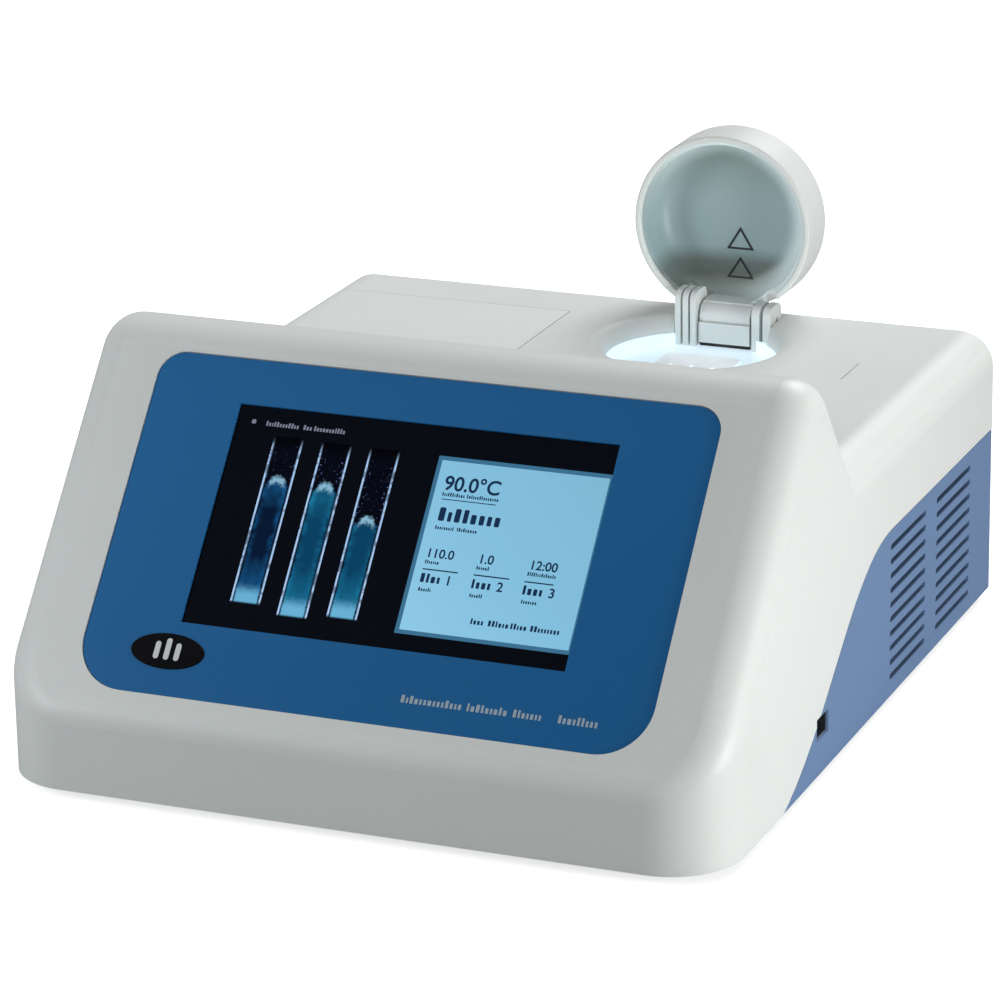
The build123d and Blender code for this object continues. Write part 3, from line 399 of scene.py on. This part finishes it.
SCREEN = mid("touch_glass") + OFF_FACE * GLASS_T / 2
SCREEN.x = 0.0
PRINT = mid("overlay") + OFF_FACE * OVERLAY_T / 2
BADGE = mid("badge") + OFF_FACE * BADGE_LIFT
FACE_ROT = Matrix((Vector((1, 0, 0)), UP_FACE, OFF_FACE)).transposed()


def add(name, mesh, body, slot, *mats):
    obj = bpy.data.objects.new(name, mesh)
    bpy.context.scene.collection.objects.link(obj)
    for mat in mats:
        obj.data.materials.append(mat)
    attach(obj, body)
    return obj


def face_matrix(origin, x, s, lift):
    """Place on the sloping face: x across, s up the face, lift off it, in mm."""
    at = origin + Vector((x * MM, 0, 0)) + UP_FACE * (s * MM) + OFF_FACE * (lift * MM)
    return Matrix.Translation(at) @ FACE_ROT.to_4x4()


def rounded_outline(w, h, r, steps=5):
    r = min(r, w / 2 - 1e-4, h / 2 - 1e-4)
    if r <= 0:
        return [(-w / 2, -h / 2), (w / 2, -h / 2), (w / 2, h / 2), (-w / 2, h / 2)]
    points = []
    for cx, cy, start in ((w / 2 - r, -h / 2 + r, -90), (w / 2 - r, h / 2 - r, 0),
                          (-w / 2 + r, h / 2 - r, 90), (-w / 2 + r, -h / 2 + r, 180)):
        for i in range(steps + 1):
            a = math.radians(start + 90 * i / steps)
            points.append((cx + r * math.cos(a), cy + r * math.sin(a)))
    return points


def slabs(items, thick):
    """Mesh of many thin rounded plates; items are (x, y, w, h, r) in mm, z up from 0."""
    bm = bmesh.new()
    for x, y, w, h, r in items:
        ring = rounded_outline(w, h, r)
        low = [bm.verts.new(((x + a) * MM, (y + b) * MM, 0)) for a, b in ring]
        top = [bm.verts.new(((x + a) * MM, (y + b) * MM, thick * MM)) for a, b in ring]
        bm.faces.new(top)
        bm.faces.new(low[::-1])
        n = len(ring)
        for i in range(n):
            bm.faces.new((low[i], low[(i + 1) % n], top[(i + 1) % n], top[i]))
    mesh = bpy.data.meshes.new("slabs")
    bm.to_mesh(mesh)
    bm.free()
    return mesh


def baked(mesh, matrix):
    mesh.transform(matrix)
    return mesh


def lettering(lines, thick):
    """Mesh of generic digits; lines are (text, x, y, size) in mm."""
    bm = bmesh.new()
    for text, x, y, size in lines:
        curve = bpy.data.curves.new("digits", "FONT")
        curve.body = text
        curve.size = size * MM
        curve.extrude = thick * MM / 2
        curve.offset = size * MM * 0.018
        obj = bpy.data.objects.new("digits", curve)
        mesh = bpy.data.meshes.new_from_object(obj)
        mesh.transform(Matrix.Translation((x * MM, y * MM, thick * MM / 2)))
        bm.from_mesh(mesh)
        bpy.data.objects.remove(obj)
        bpy.data.curves.remove(curve)
        bpy.data.meshes.remove(mesh)
    mesh = bpy.data.meshes.new("digits")
    bm.to_mesh(mesh)
    bm.free()
    return mesh


# ------------------------------------------------------------------ display picture

# measures in mm; heights run up the face from the chin
SCREEN_S = 85.6                      # middle of the window
OVERLAY_S = 80.0                     # middle of the overlay
PANEL = (42.7, 83.1, 69.9, 70.9)     # lit panel: middle in x, height, width, length
PANEL_BEVEL = 1.6
INK_T, PRINT_T, SYMBOL_T = 0.05, 0.06, 0.12
PICTURE_LIFT, INK_LIFT = 0.02, 0.08  # off the cover glass: ink lies over the panel's ground
TUBE_W, TUBE_H = 12.0, 68.0          # scale of the noise in a tube picture
NAVY = ((0.001, 0.008, 0.030), (0.006, 0.085, 0.230))
TEAL = ((0.002, 0.050, 0.120), (0.008, 0.150, 0.280))
# tube pictures: middle in x, height, length, level of the sample, noise shift, its colours
TUBES = ((-53.9, 85.3, 67.6, 0.76, 1.7, NAVY), (-34.0, 83.6, 70.4, 0.77, 4.1, TEAL),
         (-14.2, 84.4, 68.4, 0.60, 7.3, TEAL))
# numbers on the panel: text, start in x, baseline, size
DIGITS = (("90.0°C", 12.4, 105.4, 8.0), ("1", 22.4, 68.3, 5.2), ("2", 42.8, 68.3, 5.2),
          ("3", 63.2, 68.3, 5.2), ("110.0", 12.4, 78.4, 5.0), ("1.0", 33.2, 78.4, 5.0),
          ("12:00", 53.4, 78.4, 5.0))

# words of the panel, left blank: baseline, letter height, spans in x
WORD_ROWS = (
    (102.9, 1.5, ((12.7, 21.5), (22.6, 34.8))),
    (93.0, 5.4, ((13.4, 37.8),)),
    (89.6, 1.5, ((13.2, 20.8), (21.9, 29.6))),
    (75.8, 1.5, ((12.7, 18.4), (33.2, 38.2), (53.4, 64.8))),
    (68.4, 3.6, ((12.6, 20.9), (33.0, 41.3), (53.2, 61.6))),
    (64.9, 1.5, ((12.8, 18.0), (33.2, 38.2), (53.6, 59.4))),
    (54.6, 2.3, ((36.2, 42.0), (43.1, 50.8), (51.9, 58.6), (59.7, 71.4))),
)
# rules under them: height, thickness, start and end in x
RULES = ((101.6, 0.35, 12.8, 34.6), (73.6, 0.5, 12.5, 26.6), (73.6, 0.5, 32.8, 47.0),
         (73.4, 0.5, 53.0, 64.4))
# words of the header and of the overlay, left blank: start and end in x, letter height
HEADER_DOT, HEADER_BASE = (-69.9, 123.9), 122.7
HEADER_WORDS = ((-64.6, -50.5, 2.0), (-49.2, -46.0, 2.0), (-44.8, -31.5, 2.0))
OVERLAY_BASE = 21.2
OVERLAY_WORDS = ((17.5, 41.5, 3.0), (43.5, 59.5, 3.0), (61.5, 72.5, 3.0), (79.0, 94.0, 3.2))
# symbol of the badge: three rods as x, height, width, length, corner
SYMBOL = ((-4.2, 0.0, 2.2, 7.0, 1.1), (0.0, 0.8, 2.2, 8.6, 1.1), (4.2, 0.0, 2.2, 7.0, 1.1))


def letters(start, end, base, tall):
    """Blank blocks that stand for the letters of a word."""
    blocks = []
    x = start
    while x < end - 0.25 * tall:
        width = tall * (0.26 + 0.20 * rng.random())
        rise = tall * (1.0 if x == start or rng.random() < 0.25 else 0.70)
        blocks.append((x + width / 2, base + rise / 2, width, rise, 0.25 * width))
        x += width + 0.22 * tall
    return blocks


def tube_material(name, fill, shift, deep, rich):
    """Camera picture of one capillary: lit glass walls, speckles, sample column and its crest."""
    g = Graph(name)
    uv = g.generated()
    in_mm = g.node("ShaderNodeMapping", {"Vector": g.coord.outputs["Generated"],
                                         "Location": (shift, 0, 3 * shift),
                                         "Scale": (TUBE_W, 0.0, TUBE_H)}).outputs[0]
    cloud = g.noise(0.22, 3.0, 0.55, vector=in_mm)
    grain = g.noise(0.75, 4.0, 0.6, vector=in_mm)
    fleck = g.noise(0.9, 2.0, 0.6, vector=in_mm)

    def plus(a, b):
        return g.math("ADD", a, b)

    def times(a, b):
        return g.math("MULTIPLY", a, b)

    def flip(a):
        return g.math("SUBTRACT", 1.0, a)

    def swing(noise, size):
        return times(g.math("SUBTRACT", noise, 0.5), size)

    u = plus(uv[0], swing(cloud, 0.10))
    v = uv[2]
    off_axis = g.math("ABSOLUTE", g.math("SUBTRACT", u, 0.5))
    near_wall = g.step(off_axis, 0.14, 0.40)
    dome = times(times(off_axis, off_axis), 0.40)
    top_level = plus(plus(v, dome), swing(grain, 0.06))
    below = flip(g.step(top_level, fill - 0.015, fill + 0.012))
    # empty glass with violet flecks that gather at the walls
    lit = (0.0006, 0.0014, 0.006)
    flecks = times(times(g.step(fleck, 0.60, 0.72), plus(times(near_wall, 1.0), 0.1)), flip(below))
    lit = g.mix(times(flecks, g.step(flip(v), 0.02, 0.14)), lit, (0.15, 0.22, 0.52))
    # sample column, darker halfway up and lighter beside the glass
    tone = g.ramp(plus(v, swing(cloud, 0.25)), [(0.03, rich), (0.30, deep), (0.55, deep),
                                               (fill, tint(rich, 0.8))])
    tone = g.mix(times(near_wall, plus(0.12, swing(cloud, 1.6))), tone, tint(rich, 2.2))
    inside = flip(g.step(plus(off_axis, swing(grain, 0.08)), 0.34, 0.42))
    lit = g.mix(times(below, inside), lit, tone)
    # ragged pale crest
    height = times(g.math("ABSOLUTE", g.math("SUBTRACT", top_level, fill - 0.018)), 22.0)
    crest = times(g.step(plus(flip(height), swing(fleck, 0.9)), 0.25, 0.95), flip(
        g.step(plus(off_axis, swing(grain, 0.2)), 0.16, 0.32)))
    lit = g.mix(times(crest, 0.8), lit, (0.30, 0.56, 0.72))
    # bright foot
    foot = times(flip(g.step(plus(v, swing(grain, 0.05)), 0.045, 0.125)), inside)
    lit = g.mix(times(foot, 0.9), lit, (0.15, 0.46, 0.70))
    # lit walls of the glass, broken here and there
    for side, power in ((uv[0], 1.0), (flip(uv[0]), 0.85)):
        wall_line = flip(g.step(plus(side, swing(cloud, 0.06)), 0.03, 0.085))
        lit = g.mix(times(times(wall_line, power), plus(0.35, g.step(cloud, 0.38, 0.52))), lit,
                    (0.40, 0.60, 0.90))
    ends = times(g.step(v, 0.0, 0.015), g.step(flip(v), 0.0, 0.10))
    lit = g.mix(ends, (0.0, 0.0, 0.001), lit)
    g.shining(lit, 0.05)
    return g.mat


def panel_material(name):
    """Lit information panel: pale cyan, a little darker towards its upper right."""
    g = Graph(name)
    uv = g.generated()
    slope = g.math("ADD", g.math("MULTIPLY", uv[0], 0.5), g.math("MULTIPLY", uv[2], 0.5))
    base = g.ramp(slope, [(0.0, (0.28, 0.61, 0.82)), (0.5, (0.235, 0.545, 0.76)),
                          (1.0, (0.22, 0.50, 0.68))])
    grid = g.node("ShaderNodeTexBrick", {"Vector": g.coord.outputs["Object"], "Scale": 900.0,
                                         "Mortar Size": 0.05, "Color1": (1, 1, 1, 1),
                                         "Color2": (0.98, 0.98, 0.98, 1),
                                         "Mortar": (0.92, 0.92, 0.92, 1)}, offset=0.0)
    g.shining(g.mix(1.0, base, grid.outputs["Color"], "MULTIPLY"), 0.1)
    return g.mat


def show(name, plates, thick, at, mat):
    """A picture or mark of the display; at is its middle in x, its height and its lift."""
    x, level, lift = at
    mesh = baked(slabs(plates, thick), face_matrix(SCREEN, x, level - SCREEN_S, lift))
    add(name, mesh, "housing", "screen_glass", mat)


def words(spans, base):
    blocks = []
    for start, end, tall in spans:
        blocks += letters(start, end, base, tall)
    return blocks


def display():
    """Everything the lit display shows, as thin pieces on the cover glass."""
    for i, (x, level, long, fill, shift, (deep, rich)) in enumerate(TUBES):
        show(f"tube_image_{i + 1}", [(0, 0, 12.2, long, 0.4)], INK_T, (x, level, PICTURE_LIFT),
             tube_material(f"m_tube_{i + 1}", fill, shift, deep, rich))
    x, level, w, h = PANEL
    bevel = PANEL_BEVEL
    across, up = (w - bevel) / 2, (h - bevel) / 2
    upright = h - 2 * bevel - 0.02
    show("panel_border", [(0, up, w, bevel, 0.2), (0, -up, w, bevel, 0.2),
                          (-across, 0, bevel, upright, 0.2), (across, 0, bevel, upright, 0.2)],
         PRINT_T, (x, level, PICTURE_LIFT), lit_ink("m_border", (0.045, 0.17, 0.30)))
    show("panel_ground", [(0, 0, w - 2 * bevel - 0.05, h - 2 * bevel - 0.05, 0.2)], INK_T,
         (x, level, PICTURE_LIFT), panel_material("m_panel_ground"))
    ink = lit_ink("m_panel_ink", (0.004, 0.025, 0.075))
    placed = [(text, start, base - SCREEN_S, size) for text, start, base, size in DIGITS]
    add("panel_digits", baked(lettering(placed, INK_T), face_matrix(SCREEN, 0, 0, INK_LIFT)),
        "housing", "screen_glass", ink)
    bars = []
    for base, tall, spans in WORD_ROWS:
        bars += words([(start, end, tall) for start, end in spans], base - SCREEN_S)
    for height, thick, start, end in RULES:
        bars.append(((start + end) / 2, height - SCREEN_S, end - start, thick, 0.1))
    show("panel_bars", bars, INK_T, (0, SCREEN_S, INK_LIFT), ink)
    pale = lit_ink("m_header", (0.20, 0.22, 0.30))
    header = [(HEADER_DOT[0], HEADER_DOT[1] - SCREEN_S, 1.7, 1.7, 0.5)]
    header += words(HEADER_WORDS, HEADER_BASE - SCREEN_S)
    show("header_bars", header, INK_T, (0, SCREEN_S, PICTURE_LIFT), pale)


def print_marks():
    """Blank letter blocks printed on the overlay and the symbol on the badge."""
    silver = moulded("m_print_silver", (0.36, 0.45, 0.52), 0.4, 1500.0, 0.00001)
    marks = words(OVERLAY_WORDS, OVERLAY_BASE - OVERLAY_S)
    add("overlay_bars", baked(slabs(marks, PRINT_T), face_matrix(PRINT, 0, 0, 0.0)),
        "housing", "overlay_blue", silver)
    pale = moulded("m_badge_mark", (0.70, 0.72, 0.72), 0.35, 1500.0, 0.00001)
    add("badge_mark", baked(slabs(SYMBOL, SYMBOL_T), face_matrix(BADGE, 0, 0, 0.0)),
        "housing", "badge_black", pale)


TRIANGLES = ((-5.4, -15.2), (-18.3, -27.6))     # apex and base below the lid's middle
TRIANGLE_HALF = 6.0
TRIANGLE_RIM = 0.74                              # inner outline against the outer one


def lid_marks():
    """Two plain triangle outlines on the dished lining of the open lid."""
    low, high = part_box("lid_liner")
    cx = (low[0] + high[0]) / 2
    cz = (low[2] + high[2]) / 2
    back = high[1] - 1.4 * MM
    flat_r, dish_r = 25.3 * MM, 9.0 * MM

    def surface(x, z):
        rho = math.hypot(x - cx, z - cz)
        over = max(0.0, rho - flat_r)
        sag = dish_r - math.sqrt(max(dish_r ** 2 - over ** 2, 0.0))
        return back - sag - 0.12 * MM

    ink = moulded("m_lid_ink", (0.012, 0.018, 0.020), 0.5, 1500.0, 0.00001)
    for k, (apex, base) in enumerate(TRIANGLES):
        bm = bmesh.new()
        x0 = cx + 1.0 * MM
        outer = [(x0, cz + apex * MM), (x0 + TRIANGLE_HALF * MM, cz + base * MM),
                 (x0 - TRIANGLE_HALF * MM, cz + base * MM)]
        mx = sum(p[0] for p in outer) / 3
        mz = sum(p[1] for p in outer) / 3
        rings = []
        for scale in (1.0, TRIANGLE_RIM):
            ring = []
            for i in range(3):
                a, b = outer[i], outer[(i + 1) % 3]
                for t in range(6):
                    x = a[0] + (b[0] - a[0]) * t / 6
                    z = a[1] + (b[1] - a[1]) * t / 6
                    x, z = mx + (x - mx) * scale, mz + (z - mz) * scale
                    ring.append((x, z))
            rings.append(ring)
        faces = []
        for lift in (0.0, 0.1 * MM):
            faces.append([[bm.verts.new((x, surface(x, z) - lift, z)) for x, z in ring]
                          for ring in rings])
        n = len(rings[0])
        for i in range(n):
            j = (i + 1) % n
            (o0, i0), (o1, i1) = faces
            bm.faces.new((o1[i], o1[j], i1[j], i1[i]))
            bm.faces.new((o0[j], o0[i], i0[i], i0[j]))
            bm.faces.new((o0[i], o0[j], o1[j], o1[i]))
            bm.faces.new((i0[j], i0[i], i1[i], i1[j]))
        mesh = bpy.data.meshes.new("triangle")
        bmesh.ops.recalc_face_normals(bm, faces=bm.faces)
        bm.to_mesh(mesh)
        bm.free()
        add(f"lid_triangle_{k + 1}", mesh, "sample_lid", "lid_grey", ink)


def strips(name, boxes, slot, mat):
    """Thin strips of painted shadow: plain strips with rounded edges, each given by two corners.
    """
    bm = bmesh.new()
    for low, high in boxes:
        size = [b - a for a, b in zip(low, high)]
        at = [(a + b) / 2 for a, b in zip(low, high)]
        place = Matrix.Translation(at) @ Matrix.Diagonal((*size, 1.0))
        made = bmesh.ops.create_cube(bm, size=1.0, matrix=place)
        edges = {e for v in made["verts"] for e in v.link_edges}
        bmesh.ops.bevel(bm, geom=list(edges), offset=min(size) * 0.25, segments=2,
                        affect="EDGES", profile=0.5)
    mesh = bpy.data.meshes.new(name)
    bm.to_mesh(mesh)
    bm.free()
    return add(name, mesh, "housing", slot, mat)


# place of the near-black sheet of painted shade behind the vent slots
VENT_SHADE_DEPTH = 1.55                   # behind the inner face of a side panel's box
VENT_SHADE_SPAN = (124.0, 236.0)          # from the front edge of the side panel
VENT_SHADE_FOOT, VENT_SHADE_TOP = 7.0, 5.0


def painted_shadows():
    """Painted shadow and shade: near-black strips in the gaps at the hinge and round the storage
    lid, and a near-black sheet behind the vent slots.
    """
    # painted shadow: near-black strips standing in for the shade in the hinge's gaps
    shadow_black = rubber("m_painted_shadow", (0.010, 0.010, 0.011))
    low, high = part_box("hinge_block")
    left, right = low[0], high[0]
    front, floor_z, top = low[1], low[2] - 1.5 * MM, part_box("hinge_pin")[1][2]
    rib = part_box("hinge_bracket")[0][0]
    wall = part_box("hinge_pin")[0][1] - 1.0 * MM
    gaps = [(rib + 2.45 * MM, rib + 3.30 * MM), (rib + 5.80 * MM, rib + 6.65 * MM),
            (rib + 9.15 * MM, left - 0.05 * MM)]
    boxes = [((left + 0.3 * MM, front + 0.3 * MM, floor_z), (right, front + 1.6 * MM, low[2])),
             ((right + 0.75 * MM, front + 0.9 * MM, floor_z), (right + 1.4 * MM, front + 1.9 * MM,
                                                               top))]
    for a, b in gaps:
        boxes.append(((a, wall - 1.0 * MM, floor_z), (b, wall - 0.1 * MM, top - 3.0 * MM)))
    strips("hinge_painted_shadow", boxes, "foot_rubber", shadow_black)
    low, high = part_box("store_lid")
    deck = high[2]
    # painted shadow: a near-black strip along the storage lid's right and rear gaps
    strips("store_gap_painted_shadow", [
        ((high[0] + 0.06 * MM, low[1], deck - 2.0 * MM), (high[0] + 0.34 * MM, high[1] + 0.3 * MM,
                                                          deck - 0.25 * MM)),
        ((low[0] + 18 * MM, high[1] + 0.06 * MM, deck - 2.0 * MM),
         (high[0] + 0.05 * MM, high[1] + 0.34 * MM, deck - 0.25 * MM))], "foot_rubber", shadow_black)
    # painted shade: a near-black sheet behind the vent slots, standing in for the shade inside the
    # housing
    vent_shade = fibre("m_vent_painted_shade", (0.003, 0.004, 0.008))
    for side, node in ((-1, "panel_left"), (1, "panel_right")):
        low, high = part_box(node)
        inner = (low if side > 0 else high)[0] - side * VENT_SHADE_DEPTH * MM
        ends = sorted((inner, inner - side * 0.1 * MM))
        strips("vent_painted_shade_left" if side < 0 else "vent_painted_shade_right", [
            ((ends[0], low[1] + VENT_SHADE_SPAN[0] * MM, low[2] + VENT_SHADE_FOOT * MM),
             (ends[1], low[1] + VENT_SHADE_SPAN[1] * MM, high[2] - VENT_SHADE_TOP * MM))],
            "black_plastic", vent_shade)


rng = random.Random(7)
painted_shadows()
display()
print_marks()
lid_marks()


# ------------------------------------------------------------------ floor, lights, camera

AMBIENT = 0.295
FLOOR_GLOW = 0.72
FLOOR_HALF = 6.0
# disk lamps: place, aim, diameter, power, colour
LAMPS = {
    "key": ((0.84, -0.20, 0.05), (0, -0.04, 0.07), 0.42, 6.2, (1, 1, 1)),
    "back": ((0.20, 1.30, 1.50), (0, 0.05, 0.10), 1.1, 22.0, (1, 1, 1)),
    "fill": ((-0.66, -0.70, 0.42), (0, -0.08, 0.08), 0.45, 2.9, (0.93, 0.97, 1.0)),
}
# camera fitted to the photograph: turn, height and roll in degrees
AZIMUTH, ELEVATION, ROLL = 22.865, 18.785, -1.08
CAMERA_AT = (0.6487, -1.5730, 0.6506)
LENS, SENSOR = 164.18, 36.0
SHIFT = (0.0149, 0.0125)


def floor():
    """Pale bench: near white to the camera, a weak bounce on the object."""
    mesh = bpy.data.meshes.new("floor")
    size = FLOOR_HALF
    mesh.from_pydata([(-size, -size, 0), (size, -size, 0), (size, size, 0), (-size, size, 0)], [],
                     [(0, 1, 2, 3)])
    obj = bpy.data.objects.new("floor", mesh)
    bpy.context.scene.collection.objects.link(obj)
    g = Graph("m_floor")
    g.set(Base_Color=g.mix(g.noise(3.0, 2.0), (0.90, 0.90, 0.90), (0.93, 0.93, 0.93)))
    g.set(Roughness=0.9, Specular_IOR_Level=0.1)
    g.set(Emission_Color=(1.0, 1.0, 1.0, 1.0))
    g.set(Emission_Strength=FLOOR_GLOW)
    bounce = g.node("ShaderNodeBsdfDiffuse", {"Color": (0.32, 0.32, 0.32, 1.0)})
    path = g.node("ShaderNodeLightPath")
    pick = g.node("ShaderNodeMixShader")
    g.put(pick.inputs[0], path.outputs["Is Camera Ray"])
    g.put(pick.inputs[1], bounce.outputs[0])
    g.put(pick.inputs[2], g.bsdf.outputs[0])
    g.put(g.out.inputs[0], pick.outputs[0])
    obj.data.materials.append(g.mat)


def soft_light(name, at, aim, size, power, color):
    light = bpy.data.lights.new(name, "AREA")
    light.shape = "DISK"
    light.size = size
    light.energy = power
    light.color = color
    obj = bpy.data.objects.new(name, light)
    obj.location = at
    obj.rotation_euler = (Vector(aim) - Vector(at)).to_track_quat("-Z", "Y").to_euler()
    bpy.context.scene.collection.objects.link(obj)


def world():
    """White behind the object, a dimmer even light on it."""
    w = bpy.data.worlds.new("studio")
    bpy.context.scene.world = w
    w.use_nodes = True
    tree = w.node_tree
    tree.nodes.clear()
    out = tree.nodes.new("ShaderNodeOutputWorld")
    path = tree.nodes.new("ShaderNodeLightPath")
    mix = tree.nodes.new("ShaderNodeMixShader")
    lit = tree.nodes.new("ShaderNodeBackground")
    seen = tree.nodes.new("ShaderNodeBackground")
    lit.inputs[0].default_value = (0.96, 0.98, 1.0, 1)
    lit.inputs[1].default_value = AMBIENT
    seen.inputs[0].default_value = (1, 1, 1, 1)
    seen.inputs[1].default_value = 1.0
    tree.links.new(path.outputs["Is Camera Ray"], mix.inputs[0])
    tree.links.new(lit.outputs[0], mix.inputs[1])
    tree.links.new(seen.outputs[0], mix.inputs[2])
    tree.links.new(mix.outputs[0], out.inputs[0])


def camera():
    """Camera at the photograph's viewing angle."""
    az, el, roll = (math.radians(angle) for angle in (AZIMUTH, ELEVATION, ROLL))
    back = Vector((math.sin(az) * math.cos(el), -math.cos(az) * math.cos(el), math.sin(el)))
    right = Vector((math.cos(az), math.sin(az), 0))
    up = back.cross(right)
    right, up = (math.cos(roll) * right + math.sin(roll) * up,
                 math.cos(roll) * up - math.sin(roll) * right)
    data = bpy.data.cameras.new("camera")
    data.sensor_width = SENSOR
    data.lens = LENS
    data.shift_x, data.shift_y = SHIFT
    data.dof.use_dof = False
    data.clip_end = 50.0
    obj = bpy.data.objects.new("camera", data)
    turn = Matrix((right, up, back)).transposed()
    obj.matrix_world = Matrix.Translation(CAMERA_AT) @ turn.to_4x4()
    bpy.context.scene.collection.objects.link(obj)
    bpy.context.scene.camera = obj


floor()
world()
for lamp, settings in LAMPS.items():
    soft_light(lamp, *settings)
camera()
bpy.context.scene.view_settings.view_transform = "Standard"
